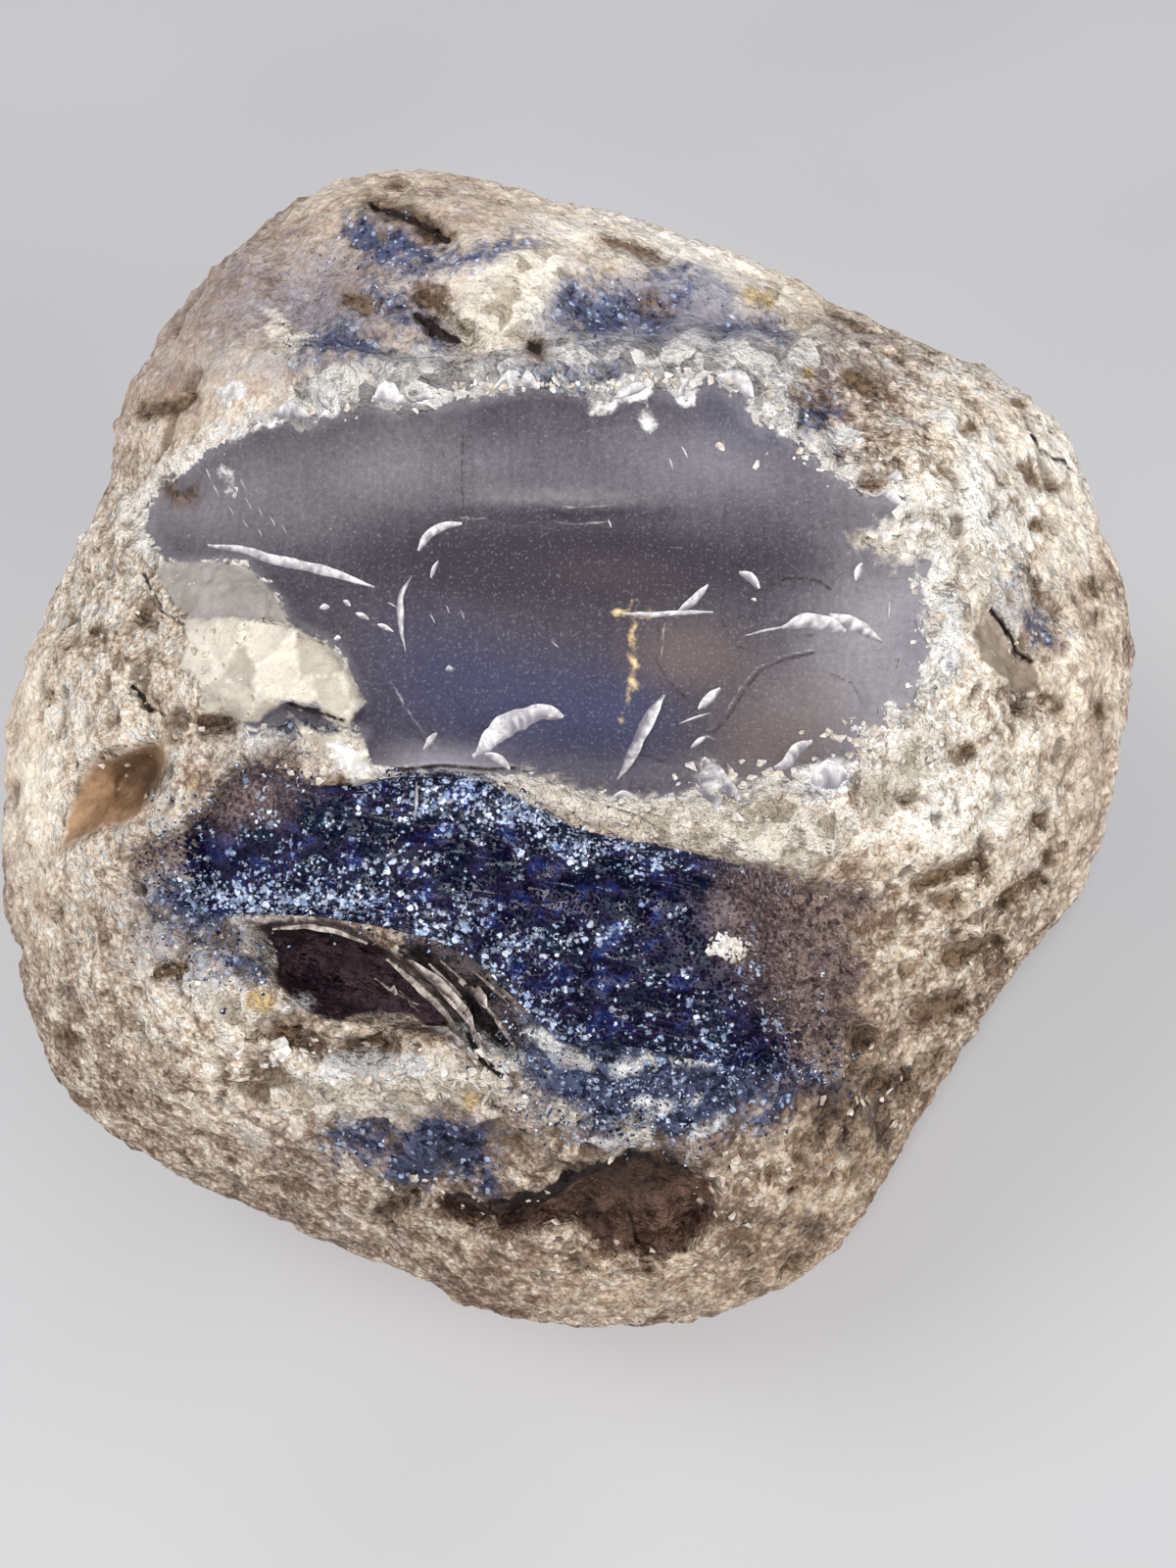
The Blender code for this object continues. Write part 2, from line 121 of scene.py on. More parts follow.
# hollow or rise: outline, height at its bottom or top, width of its edge, width where it is
# soft, and the side where it is soft, in degrees from the right
AREAS = (
    (WINDOW, -4.4, 8.0, 8.0, 0),
    (TROUGH, -2.6, 0.9, 3.0, -10),
    (CAVITY, -5.5, 1.2, 2.8, -150),
    (SIDE_HOLE, -5.0, 2.0, 6.0, 190),
    (LOWER_CAVITY, -4.0, 1.0, 4.0, -90),
    (CHIP, 1.1, 0.5, 3.0, 140),
    (LEDGE, 1.1, 1.2, 3.0, 90),
)
FACETED = ((CHIP, 3.4, 0.5), (LEDGE, 3.0, 0.4), (SHELF, 3.2, 0.5))
STROKES = (
    ((-20, 44.5), (-13, 44), 3.6, -2.6), ((-13.5, 39), (-10, 36.4), 1.5, -2.2),
    ((-9, 40), (-3, 39), 6.0, 1.6), ((0, 38.5), (15, 37.6), 3.4, -1.4),
    ((-15, 40), (-5, 44), 9.0, 1.2), ((2, 42), (22, 37), 7.0, 0.9),
    ((-30, 34), (-22, 34.6), 4.0, 0.9), ((32.6, 13.6), (35.6, 9.2), 2.2, -2.2),
    ((35.2, 7.8), (35.4, 6.6), 1.5, -1.5), ((36.6, 17), (36.9, 13.4), 1.6, -1.3),
    ((38.6, 27.2), (38.3, 25), 1.3, -1.4), ((35.4, 26.4), (36.9, 24.8), 1.4, -1.0),
    ((27.4, -8.1), (31, -6.5), 1.2, -1.5), ((34.5, -9.4), (37.2, -8), 1.3, -1.7),
    ((37.8, -4.6), (37.7, -7), 0.9, -1.0), ((29.2, -13.9), (33, -12.9), 1.4, -1.9),
    ((26.8, -18.6), (29.4, -17.5), 1.6, -1.9), ((22.2, -20.6), (22.8, -20.9), 1.6, -2.4),
    ((22.4, -24.6), (25.2, -24.2), 1.7, -1.6), ((20.4, -27.6), (23.6, -27), 2.6, -1.4),
    ((18.1, -36.2), (18.4, -36.4), 1.1, -1.3), ((29, -9.6), (29.6, -9.5), 1.2, -0.9),
    ((30.6, 2.4), (31, 2.8), 1.1, -0.9), ((36.4, -3), (37.4, -3), 1.1, -0.9),
    ((-13.8, -13.8), (-9.6, -18.2), 1.0, -2.2), ((-9.6, -18.2), (-6.4, -21.6), 0.9, -2.0),
    ((-10.4, -16), (-8, -17.3), 0.8, -1.4), ((-19, -21), (-16.4, -20.9), 1.7, -1.8),
    ((-25, -19), (-21.6, -20.2), 1.5, -1.4), ((-30.9, 4.9), (-29.4, 5), 1.0, -1.2),
    ((-36.4, 7.8), (-34.8, 5.8), 0.8, -1.0), ((-16.8, -35.2), (-14.8, -34), 1.2, -1.3),
    ((-33.6, -14.8), (-32, -14.6), 1.1, -1.0), ((-34.6, 23.8), (-32.6, 23.2), 1.0, -0.8),
    ((-38.6, 24.2), (-36.6, 24.6), 1.2, -1.2), ((-20, -24.8), (-8, -24.6), 3.2, 1.2),
    ((-23.8, -21.6), (-21, -22.8), 1.6, 0.9), ((-2.8, -26.6), (-1.2, -26.3), 1.5, 0.7),
    ((-6, -19.4), (-3.4, -22.4), 1.4, 0.8), ((1, -22.8), (10, -22.9), 1.6, 0.8),
    ((-40, -8), (-34, -22), 9.0, 1.2), ((6, -41), (20, -33), 8.0, 0.8),
    ((28, 28), (36, 10), 8.0, 1.0), ((-9.6, 3.2), (-3, 5.8), 1.1, 0.6),
)
CREST = (
    (-30, 34.6), (-26, 35.8), (-20, 34.9), (-14, 34), (-6, 34.2), (0, 36), (8, 35.8), (12, 35.4),
    (20, 36), (28, 35.2),
)
RIDGE_DROP, RIDGE_STEP, VALLEY_END, CREST_END = 5.0, 1.4, (5.0, 13.0), 8.0
# how much of an area's edge lies outside its line and how much inside
EDGE_SHARE = (-0.25, 0.75)
# where facets start and are full, past the edge of their area (mm), and how far they tilt
FACETED_FADE, FACET_TILT = (-0.4, 0.6), 1.6
LUMPS = ((26.0, 1.5), (9.0, 0.8), (3.6, 0.35))
BACK_SWELLS = (
    ((0.02, -0.31, -0.95), 26.0, 4.2), ((0.62, 0.35, -0.70), 17.0, -2.6),
    ((-0.55, 0.62, -0.56), 14.0, -2.0), ((-0.70, -0.30, -0.65), 12.0, -1.5),
    ((0.10, 0.80, -0.60), 9.0, -1.6), ((0.90, -0.25, -0.35), 8.0, -1.4),
    ((-0.86, 0.20, -0.46), 6.0, -1.3), ((-0.15, 0.45, -0.88), 12.0, 1.4),
)
PIT_SEED, PIT_COUNT, PIT_RADIUS, PIT_DEPTH = 7, 90, (1.0, 2.3), 0.62

# ---- How the face and the back meet: a direction's part along the face's axis ----
FACE_FADE = (0.02, 0.3)               # where the face's own shape starts and is full
BACK_FADE = (-0.12, 0.1)              # where large triangles start and are full, backwards
# where things start and are full, past the edge of their outline (mm)
BED_FADE, BARE_FADE, SMOOTH_FADE = (-0.1, 0.5), (-1.5, 1.5), (-0.6, 0.2)
BARE_GRAIN = 0.3                      # share of the grain that bare stone keeps
EDGE_LIMIT = 0.999                    # places on the board end this close to the outline
FAR = 3.0                             # distances to an edge are worked out up to here (mm)

# ---- The camera stands at the apex and looks along the face's axis (mm, nearest in m) ----
SENSOR, LENS, NEAREST = 36.0, 56.25, 0.01
FACE_AXIS = np.array((0.0, -COSINE, SINE))

# ---- Size of the stone's triangles (mm) ----
BACK_EDGE, RIND_EDGE, SMOOTH_EDGE, CRISP_EDGE, COVERED_EDGE = 1.8, 0.60, 1.2, 0.44, 1.4
LINE_EDGE, LINE_REACH = 0.22, 0.3
CRISP_REACH, COVERED_FROM = 0.55, 1.0
SPHERE_STEPS, REFINEMENTS = 6, 4

# grain of the weathered skin, finer than in its solid: size, height
GRAIN = ((2.3, 0.42), (1.1, 0.26))
CRUMB_CELL, CRUMB_HEIGHT, CRUMB_LEVEL = 1.4, 0.5, 0.45
# ragged pores: size of their two noises, where they start and are deepest, depth
PORE_SIZES, PORE_EDGE, PORE_DEPTH = (1.9, 0.8), (0.36, 0.72), 0.8

# ---- Marks on the face: closed outlines ----
WINDOW_EDGE = (
    (-28.3, 28.5), (-27.5, 29.4), (-24, 29.5), (-22.6, 29.2), (-20, 30.2), (-18, 31), (-16, 30.4),
    (-14, 31), (-12, 30.8), (-8, 31.5), (-6, 32), (-4, 32.3), (0, 31.6), (2, 31.2), (5, 32.3),
    (8, 31.2), (10, 32.3), (12, 31), (14, 28.6), (15, 29.3), (17, 27.5), (19, 26), (21, 25),
    (22.4, 23.4), (25, 23), (25.4, 20.6), (22.4, 19.9), (25, 18.6), (27.4, 17.9), (26.5, 16),
    (25.4, 14.6), (26.6, 12), (25.2, 10), (26.3, 8), (24, 6.4), (24.4, 5), (22, 4.4), (22, 2),
    (20, 1.4), (18, 0.6), (15, 0.9), (13, 0), (10.5, 0.6), (9.6, 1.8), (8.9, -0.4), (5, -1.4),
    (2.6, -1.1), (0, -0.9), (-4, 0.3), (-8, 1.4), (-12, 1.5), (-16, 1.2), (-18, 1.4), (-19, 2.5),
    (-18.2, 4.2), (-20.2, 4.8), (-22.4, 4.5), (-24.6, 5.4), (-27.6, 4.2), (-28.4, 5.4),
    (-24.2, 7.2), (-18.4, 6.8), (-19.8, 10), (-21, 11.4), (-24.2, 13.2), (-25.2, 15), (-28, 18.2),
    (-33, 18.2), (-35, 19.5), (-36, 22), (-34.4, 24.6), (-31.4, 26.6),
)
SCAR = (
    (-35, 17.2), (-34, 17.9), (-31, 18.2), (-28, 17.9), (-26.4, 16.5), (-25, 14.5), (-24, 12.6),
    (-26.4, 13.4), (-29, 13.1), (-32, 13.3), (-33.8, 14.6),
)
CHIP_FACETS = (
    (-33.2, 13.4), (-29, 13.6), (-24.4, 13), (-23, 12.2), (-21, 11.2), (-19.8, 10), (-18.8, 7.6),
    (-18.1, 6.6), (-19.2, 5.7), (-19.6, 4.7), (-20.5, 4.7), (-21.8, 5.6), (-22.2, 6.8),
    (-23.6, 6.1), (-24.3, 7.1), (-26, 6.2), (-27, 5.2), (-28.2, 5.1), (-29.5, 5.6), (-31, 5.7),
    (-32, 6.4), (-31.4, 8), (-33.4, 9.6), (-32.6, 11.4),
)
LOWER_CHIP = (
    (-24.3, 5.4), (-23.8, 3.9), (-22.5, 3), (-21, 2), (-20, 0.7), (-19.2, -0.2), (-17.4, 0.4),
    (-18.4, 3.8), (-20, 4.2), (-22, 4),
)
LEDGE_TOP = (
    (-6.4, 0.5), (-4, 0.3), (0, -0.9), (2.6, -1.3), (6, -1.7), (8.6, -1.4), (9.6, 1.6), (12, -0.8),
    (16, -0.3), (19.4, -1.4), (20.4, -4.4), (18.4, -6.8), (15, -6.3), (12, -6), (9.4, -5.2),
    (7, -4.9), (3, -4.4), (0, -3.3), (-3, -1.2),
)
VUG = (
    (-27.4, -11.4), (-24, -11.2), (-21, -11.2), (-19.5, -11.6), (-17, -13.2), (-15.3, -14.4),
    (-13.6, -16.6), (-11.6, -18.6), (-11.4, -19.8), (-13, -20), (-14.2, -18.9), (-17, -18.5),
    (-20, -18.9), (-22, -18.3), (-23.4, -17.4), (-25.2, -15.8), (-25.4, -14), (-26.2, -12.4),
)
DRUSE_EDGE = (
    (-37, -6.3), (-36, -5), (-33, -4), (-32, -2), (-30.5, 0), (-28, 1.8), (-25, 2.2), (-23, 1.2),
    (-22, -0.3), (-19, -0.8), (-17.5, 0.2), (-16.5, 1.2), (-14, 1), (-12, 1.2), (-9.5, 1),
    (-7, 0.2), (-5, -0.6), (-3.5, -1.8), (-2, -3), (0, -3.6), (2, -4), (5, -4.8), (8, -5.2),
    (10, -5.9), (13, -6.2), (16, -7), (19, -8), (22, -8.5), (23.5, -9.2), (22.5, -10.5),
    (21, -12), (22.5, -14.5), (22.5, -16.5), (21, -18), (22.5, -19), (21, -20.5), (21, -22),
    (20, -24), (16, -25), (13, -23.3), (10, -22.8), (7, -22), (4, -21.5), (1, -22), (-1.5, -21),
    (-3.5, -19.5), (-5, -18.3), (-7, -17), (-8.5, -15.5), (-10, -13.8), (-12.5, -13),
    (-14, -12.5), (-16, -12), (-19, -11.3), (-21, -10.8), (-24, -10.8), (-30, -10.6),
    (-35, -10), (-36, -8.5),
)
HOLE_EDGE = (
    (-34.2, 3.5), (-34.6, 1), (-35.8, -1), (-36, -2.5), (-37.5, -3.3), (-39, -3.3), (-40, -4),
    (-43, -5.5), (-42.6, -3), (-41.8, 0), (-40, 2), (-38, 2.3), (-36, 3.2),
)
LOW_HOLLOW = (
    (-12, -34), (-6, -34), (-2.5, -32.5), (0, -31.5), (2.5, -30.2), (4.5, -29.7), (6, -29.8),
    (7.5, -30.8), (9, -31.8), (10.6, -32.4), (10, -35.6), (8, -37), (5.4, -38.2), (1, -37.6),
    (-1, -35.4), (-4, -36.2), (-9, -36.4), (-12, -35.6),
)
# the druse's brown ends follow its edge on their outer side
DUSK_LEFT = DRUSE_EDGE[:8] + ((-21.6, -0.6), (-24, -3), (-28, -4.6), (-32, -7))
DUSK_RIGHT = ((9, -6.4), (13, -6.2)) + DRUSE_EDGE[26:39] + ((12, -23.5), (11, -18), (8, -12))

# ---- Marks: thick lines through points (half width, points) and, with width 0, outlines ----
MARKS = {
    "window": ((0, WINDOW_EDGE), (1.2, ((25.8, 14.6), (26.4, 11), (25.8, 7.6)))),
    "scar": ((0, SCAR),),
    "facet": ((0, CHIP_FACETS), (0, LOWER_CHIP)),
    "cream": (
        (0, LEDGE_TOP), (1.2, ((-25.4, 37), (-24.6, 36.4))),
        (2.2, ((-9, 37.6), (-5.6, 39.6), (-4.6, 41))), (1.2, ((-9.6, 35.6), (-6.4, 36.4))),
        (1.3, ((13.4, 39.6), (15, 39.8))), (0.9, ((17, 37.6), (18.2, 37.2))),
        (1.6, ((29.8, 13.6), (31, 17))), (1.6, ((24, -1), (28, 3))),
        (1.0, ((25.4, 20.4), (28.4, 21.2))), (2.0, ((-22, -24.6), (-15, -24), (-8, -24.4))),
        (1.4, ((-29, -17.4), (-27, -18))),
        (0, ((22, 19.9), (25.8, 21.7), (29.7, 22), (29.7, 20.3), (26.8, 19), (25.4, 18.3),
             (23.3, 19.2))),
        (0.9, ((-2.6, -26.4), (-1.4, -26.6))), (1.0, ((3, -28.3), (4.2, -28.2))),
    ),
    "dusk": ((0, DUSK_RIGHT), (0, DUSK_LEFT), (1.2, ((16, -25), (20, -25.6)))),
    "blue": (
        (1.3, ((-18.6, 45.6), (-16.6, 43.6))), (1.5, ((-15.6, 44.4), (-13.6, 43.2))),
        (0.8, ((-17, 43), (-14, 42.5), (-8.6, 42.9), (-6.4, 43.8), (-4.2, 43.4))),
        (1.1, ((-23.6, 35.6), (-20, 36.4), (-17.6, 35.4))), (0.7, ((-17.4, 40.2), (-15.2, 38.4))),
        (0.8, ((-13.8, 38.4), (-11, 36.4))), (1.4, ((-1.6, 39), (0.4, 37.4), (2, 38))),
        (1.0, ((3, 38.4), (5.6, 37.2))), (0.5, ((6.4, 38.4), (7.6, 39.4))),
        (0.4, ((5.6, 41), (7.6, 41.4))), (0.6, ((10.6, 36.6), (13, 37.2), (15.6, 36.6))),
        (0.7, ((-6, 33.2), (-2, 33), (1.8, 33.4))), (1.0, ((17, 29.4), (19.4, 30.4))),
        (0.9, ((-28.6, -14.2), (-26.6, -15))), (2.6, ((-14.2, -31), (-12, -29.6), (-10.6, -30.2))),
        (1.4, ((-19.6, -28.4), (-17.4, -29.6))), (1.0, ((-9.4, -32.4), (-8, -33))),
        (1.8, ((-1.6, -25.4), (2, -26.4))),
        (0, ((-6.4, -18), (-1, -18.8), (4, -20), (10, -20.8), (16, -21.6), (17, -23.6),
             (13, -26.6), (11, -28.4), (7, -29), (2, -29.4), (-1.6, -27.6), (-3.4, -24.4),
             (-5.6, -22))),
        (0.6, ((36.6, 13.8), (38, 12))), (0.4, ((35.4, 17.6), (35.8, 17))),
        (1.5, ((-34, -9), (-31, -11))), (0.8, ((-27.4, 5.6), (-24, 4.8), (-20, 5.4))),
        (1.3, ((-7, -19.6), (-5, -22), (-3, -24))), (0.8, ((-14, 1.4), (-8, 1.7))),
        (1.2, ((14, -27.4), (16.6, -24.8))), (0.8, ((18, -24), (20.4, -25))),
    ),
    "cave": ((0, LOW_HOLLOW), (1.0, ((-6.6, -34.9), (-3, -34), (0, -33)))),
    "umber": (
        (0.7, ((-18, 48), (-14, 46.5), (-11.3, 45))), (1.0, ((-13.2, 45), (-12.6, 45))),
        (0.9, ((-19.4, 39.6), (-18, 39))), (1.2, ((-13.2, 40), (-11.8, 39))),
        (0.8, ((-4.4, 35.6), (-4.2, 35.4))), (0.7, ((1.4, 43.9), (3.4, 43.3), (5.8, 42.5))),
        (0.7, ((20.4, 38.6), (22.6, 37.8))), (0.6, ((4.6, 39), (6, 38.2))),
        (0.7, ((19.6, -26), (19.2, -29.4))), (0.8, ((21.4, -25.6), (21, -29.2))),
        (0.7, ((23.4, -25.8), (23.6, -28.4))), (1.0, ((22.8, -24.4), (25.2, -24))),
        (0.8, ((18.1, -36.1), (18.3, -36.3))), (1.2, ((22, -20.8), (22.2, -20.6))),
        (1.1, ((-18.4, -21.1), (-16.6, -20.9))), (0.9, ((-24.6, -19.3), (-21.4, -20.8))),
        (1.0, ((-30.8, 4.9), (-29.4, 5))), (0.7, ((-17, -35.3), (-14.5, -33.8))),
        (0.9, ((7, -34.4), (7.2, -36.4))), (0.5, ((-34.4, 24.6), (-33.4, 23.4), (-32.4, 23.6))),
        (0, ((34.2, 7.9), (35.8, 7.6), (36.9, 5), (35.3, 5.5), (34.4, 6.4))),
        (0.5, ((36.2, 16.8), (37.2, 15.4))),
    ),
    "pit": (
        (0.5, ((37.5, 7), (37.7, 7.1))), (0.4, ((38.9, 6.3), (39, 6.6))),
        (0.6, ((42.5, 5.7), (42.4, 6.3))), (0.6, ((41, 15.6), (41, 16.4))),
        (0.5, ((41.2, 13.2), (41.4, 13.8))), (0.8, ((30.4, 2.4), (30.9, 2.8))),
        (0.7, ((36.4, -3), (37.2, -3))), (0.5, ((31.8, -4.5), (31.9, -7.4))),
        (0.6, ((27.3, -8.2), (29.2, -7.2), (31, -6.4))),
        (0.8, ((34.3, -9.5), (35.8, -8.4), (37.2, -7.9))), (0.5, ((37.8, -5.6), (37.9, -6.4))),
        (0.6, ((29, -9.6), (29.7, -9.5))), (0.4, ((25.1, -9), (25.4, -9.1))),
        (0.8, ((29.2, -14), (31, -13.2), (33, -12.8))), (0.5, ((24.4, -12.8), (24.8, -12.7))),
        (0.4, ((32.4, -15.2), (34, -14.3))), (0.9, ((26.9, -18.7), (28.2, -17.8), (29.5, -17.5))),
        (0.5, ((26.8, -22.8), (28.2, -21.4))), (0.4, ((17.2, -30.9), (17.5, -30.9))),
        (0.4, ((15.1, -32.3), (15.4, -32.2))), (0.5, ((12.4, -36.8), (12.7, -36.7))),
        (0.4, ((15.4, -36.3), (15.7, -36.2))), (0.4, ((16.6, -39.5), (17, -39.4))),
        (0.4, ((13, -38.9), (13.3, -38.8))), (0.6, ((5.2, -43.4), (5.8, -43.3))),
        (0.4, ((4.7, -39.3), (5, -39.2))), (0.4, ((2.9, -38.8), (3.2, -38.8))),
        (0.4, ((-1.6, -38.5), (-1.3, -38.5))), (0.5, ((31.1, 29), (31.5, 29))),
        (0.4, ((34.7, 30.8), (35, 30.7))), (0.4, ((33.4, 24.4), (33.7, 24.3))),
        (0.4, ((34.4, 23), (34.7, 22.9))), (0.5, ((36.8, 21.3), (37.1, 21))),
        (0.5, ((35.7, 26), (36.5, 24.7), (37.8, 24.2))), (0.4, ((28.5, 25.5), (28.8, 25.4))),
        (0.5, ((22.5, 24.5), (23.9, 24.5))), (0.5, ((-39.3, 12.2), (-39, 12.1))),
        (0.4, ((-41, 11.5), (-40.8, 11.4))), (0.4, ((-37.9, 10), (-37.6, 10))),
        (0.4, ((-38.1, 5), (-37.9, 5))), (0.4, ((-43.8, 7.2), (-43.6, 7.2))),
        (0.5, ((-42.6, -17), (-42.3, -17))), (0.5, ((-43, -20.5), (-42.3, -21.2))),
        (0.3, ((-33.2, -21.3), (-31.9, -21.2))), (0.3, ((-32.4, -24.4), (-30.6, -24.6))),
        (0.4, ((-29, -22.5), (-29, -24))), (0.4, ((-24.1, -32.5), (-23.8, -32.5))),
        (0.8, ((-36, 30.4), (-34.4, 31), (-32.6, 31.8))), (0.6, ((-34.2, -15), (-32, -14.4))),
        (0.3, ((-30.2, -12.3), (-30, -12.3))), (0.7, ((21, 33), (22.4, 32.4))),
        (0.6, ((-16.3, 49.4), (-15.7, 49.5))), (0.4, ((16.6, -33.4), (17.4, -32.6))),
    ),
    "slate": (
        (0, ((31.2, 15.2), (32.6, 14.4), (33.9, 12.6), (35.7, 10.6), (36.8, 9.8), (37.4, 7.6),
             (35.7, 7.4), (34.2, 8.2), (32.3, 9.6), (30.9, 12.1))),
    ),
    "slit": (
        (0, ((-15.4, -11.8), (-12.4, -12.3), (-10.2, -13.2), (-8.2, -14.8), (-6.6, -16.6),
             (-5.2, -18.6), (-4.8, -20.8), (-6.2, -22.4), (-8.4, -22.8), (-10.6, -20.6),
             (-11.6, -18.6), (-13.6, -16.4), (-15.3, -14.2))),
    ),
    "hollow": ((0, VUG),),
    "tan": ((0, HOLE_EDGE),),
    "ridge": (
        (0, ((-22, 34), (-18, 34.3), (-10, 34), (-6, 34.2), (-2, 35.2), (0, 36), (4, 36.2),
             (8, 35.8), (12, 35.4), (16, 35.6), (19, 35.6), (18, 33), (15, 31), (12, 30), (0, 30),
             (-12, 29), (-24, 28), (-28, 29), (-25, 31.6))),
    ),
    "white": (
        (0.7, ((-29.4, 31.8), (-28.6, 32))), (0.6, ((-27.6, 29.9), (-26, 29.8))),
        (0.6, ((-29.6, 29), (-28.7, 28.8))), (0.7, ((-21.2, 30.6), (-21, 31.2))),
        (0.7, ((-14, 31.6), (-13.2, 31.4))), (0.5, ((-7.6, 32.6), (-6.7, 32.4))),
        (0.4, ((1.2, 32.3), (1.4, 32.2))), (0.7, ((3, 32), (4.4, 32.2))),
        (0.5, ((0.6, 31), (1.8, 30.8))), (0.5, ((4.8, 29.8), (5.1, 29.3))),
        (0.8, ((7.6, 32.4), (8, 31.8))), (1.0, ((15, 31.6), (16, 29.4))),
        (1.1, ((20.6, 28.4), (21.4, 28.4))), (0.8, ((29, 15), (29.6, 12), (29, 8.6))),
        (0.3, ((-29.9, 25.7), (-29.3, 24.9))), (0.25, ((-29.2, 24.3), (-28.8, 23.7))),
        (1.4, ((17.9, 0), (20, 0.6))), (1.0, ((-20.6, 2.6), (-19, 1.4))),
        (0.4, ((-23.6, -17.6), (-22.8, -17.4))), (1.1, ((-20.6, -22.6), (-14, -23))),
        (0.8, ((-10.4, -20.6), (-6.2, -22.6))), (0.45, ((-4.6, -20.2), (-2.6, -21.8), (0, -22.4))),
        (0.35, ((2.2, -22.6), (5, -22.2))), (0.4, ((7.4, -22.4), (10.4, -22.9))),
        (0.3, ((4, -25.4), (6.4, -26.2), (9, -25.8))), (0.5, ((0.4, -28.9), (2.6, -28.6))),
        (0.4, ((8.6, -28.6), (11, -27.4))),
    ),
    # dark lines along cracks, slits and creases: partly their own dark colour and partly painted
    # shade
    "dark_line_and_shade": (
        (0.16, ((-13.9, -13.9), (-11, -16.5), (-9, -19), (-6.6, -21.4))),
        (0.34, ((-13, -14.6), (-10.2, -17.6))), (0.16, ((-10.4, -16), (-8, -17.2))),
        (0.25, ((-9.8, -20.5), (-8.5, -22.5), (-7.2, -23.6))),
        (0.16, ((-12.6, -17), (-10.6, -18.6))),
        (0.14, ((-16, 1.1), (-12, 1.5), (-8, 1.2), (-6, 1.3))),
        (0.3, ((-14, 38.2), (-10.6, 36.2))),
        (0.3, ((-17.8, 47.6), (-14.4, 46.4), (-12.6, 45.4), (-11.6, 44.6))),
        (0.1, ((-10, 34.3), (-8, 34.9), (-6, 35.4))), (0.45, ((-4.5, 35.5), (-4.2, 35.4))),
        (0.1, ((-16.6, -12.6), (-14.6, -13.6))), (0.12, ((-15.4, -13.6), (-13.2, -15.4))),
        (0.14, ((-12, -34), (-6, -34.1), (-2.5, -32.7))),
        (0.42, ((-6, -34.3), (-3, -33.3), (-0.4, -31.8), (2.2, -30.7), (4.6, -30.2))),
        (0.12, ((6, -30), (9, -31.9))), (0.16, ((3.3, -34.6), (4, -37))),
        (0.16, ((-24.6, 6.6), (-20, 5.2))), (0.2, ((32.9, 14.3), (34.5, 12.4), (36.6, 10.1))),
        (0.08, ((36, 28.4), (37.8, 26.5), (38.8, 25.3))), (0.2, ((-36.4, 7.8), (-34.9, 5.9))),
    ),
    "crack": (
        (0.12, ((18.4, 10.7), (16, 10.2), (14, 9.2), (12.7, 7.5), (11.5, 5.5), (10.2, 4.2))),
        (0.1, ((15, 16.2), (16.2, 16.8), (17.9, 16.8), (19, 16.5), (19.8, 15.9))),
        (0.08, ((13, 12.2), (18.4, 12.1))), (0.08, ((3.8, 2.5), (5, 2.3), (6.5, 1.7))),
        (0.08, ((1.6, -1.8), (4, -2.6), (6.5, -4))), (0.06, ((-12, 8), (-10, 6))),
        (0.05, ((-14, 6), (-12.5, 4))), (0.12, ((-36, 17), (-34.5, 14), (-33, 13))),
        (0.03, ((14.6, 16), (12.4, 15.4))),
        (0.07, ((5.8, 13.2), (5.6, 10), (6.6, 8.4), (8.4, 6.6))),
        (0.04, ((-10.2, 29.5), (-10.3, 25), (-10.1, 21))),
        (0.06, ((-16.6, 8.4), (-14.6, 5), (-12.6, 2.6))),
        (0.05, ((11, 13.4), (11.8, 11.4), (14, 10.6))),
        (0.05, ((19, 9.4), (21.6, 8.2), (22.6, 6.2))),
    ),
    "gleam": (
        (0.04, ((18.5, 11), (16, 10.5), (13.8, 9.5), (12.4, 7.8), (11.2, 5.7))),
        (0.05, ((-16.2, 8.6), (-14.2, 5.2), (-12.2, 2.8))),
        (0.08, ((-12, 21.9), (-6, 21.4), (2, 21.3))), (0.07, ((-9, 22.9), (-3, 22.6), (3, 22.8))),
        (0.07, ((-34, 20.4), (-30, 20.2), (-26, 19.4), (-22, 18.4))),
        (0.05, ((6.2, 13), (6, 10.2))), (0.07, ((8, 4.6), (11, 3.4), (15, 3.2))),
        (0.06, ((-22, 21), (-16, 20.2), (-12, 20.3))),
    ),
    "gold": (
        (0.22, ((2.2, 14), (5, 13.8))), (0.2, ((3.7, 14.6), (3.6, 11), (3.8, 8.6))),
        (0.3, ((3.6, 8.3), (3.9, 8.1))), (0.06, ((3.3, 7.5), (2.6, 5.5), (2, 3.8))),
        (0.8, ((-26.2, -17), (-25.6, -17.2))), (0.5, ((-9.8, -26.2), (-9.2, -25.8))),
        (0.5, ((17.7, 33.4), (17.9, 33.2))), (0.3, ((-32.3, 0), (-32.1, 0.1))),
        (0.7, ((13.4, 39.8), (14.6, 39.6))),
    ),
}
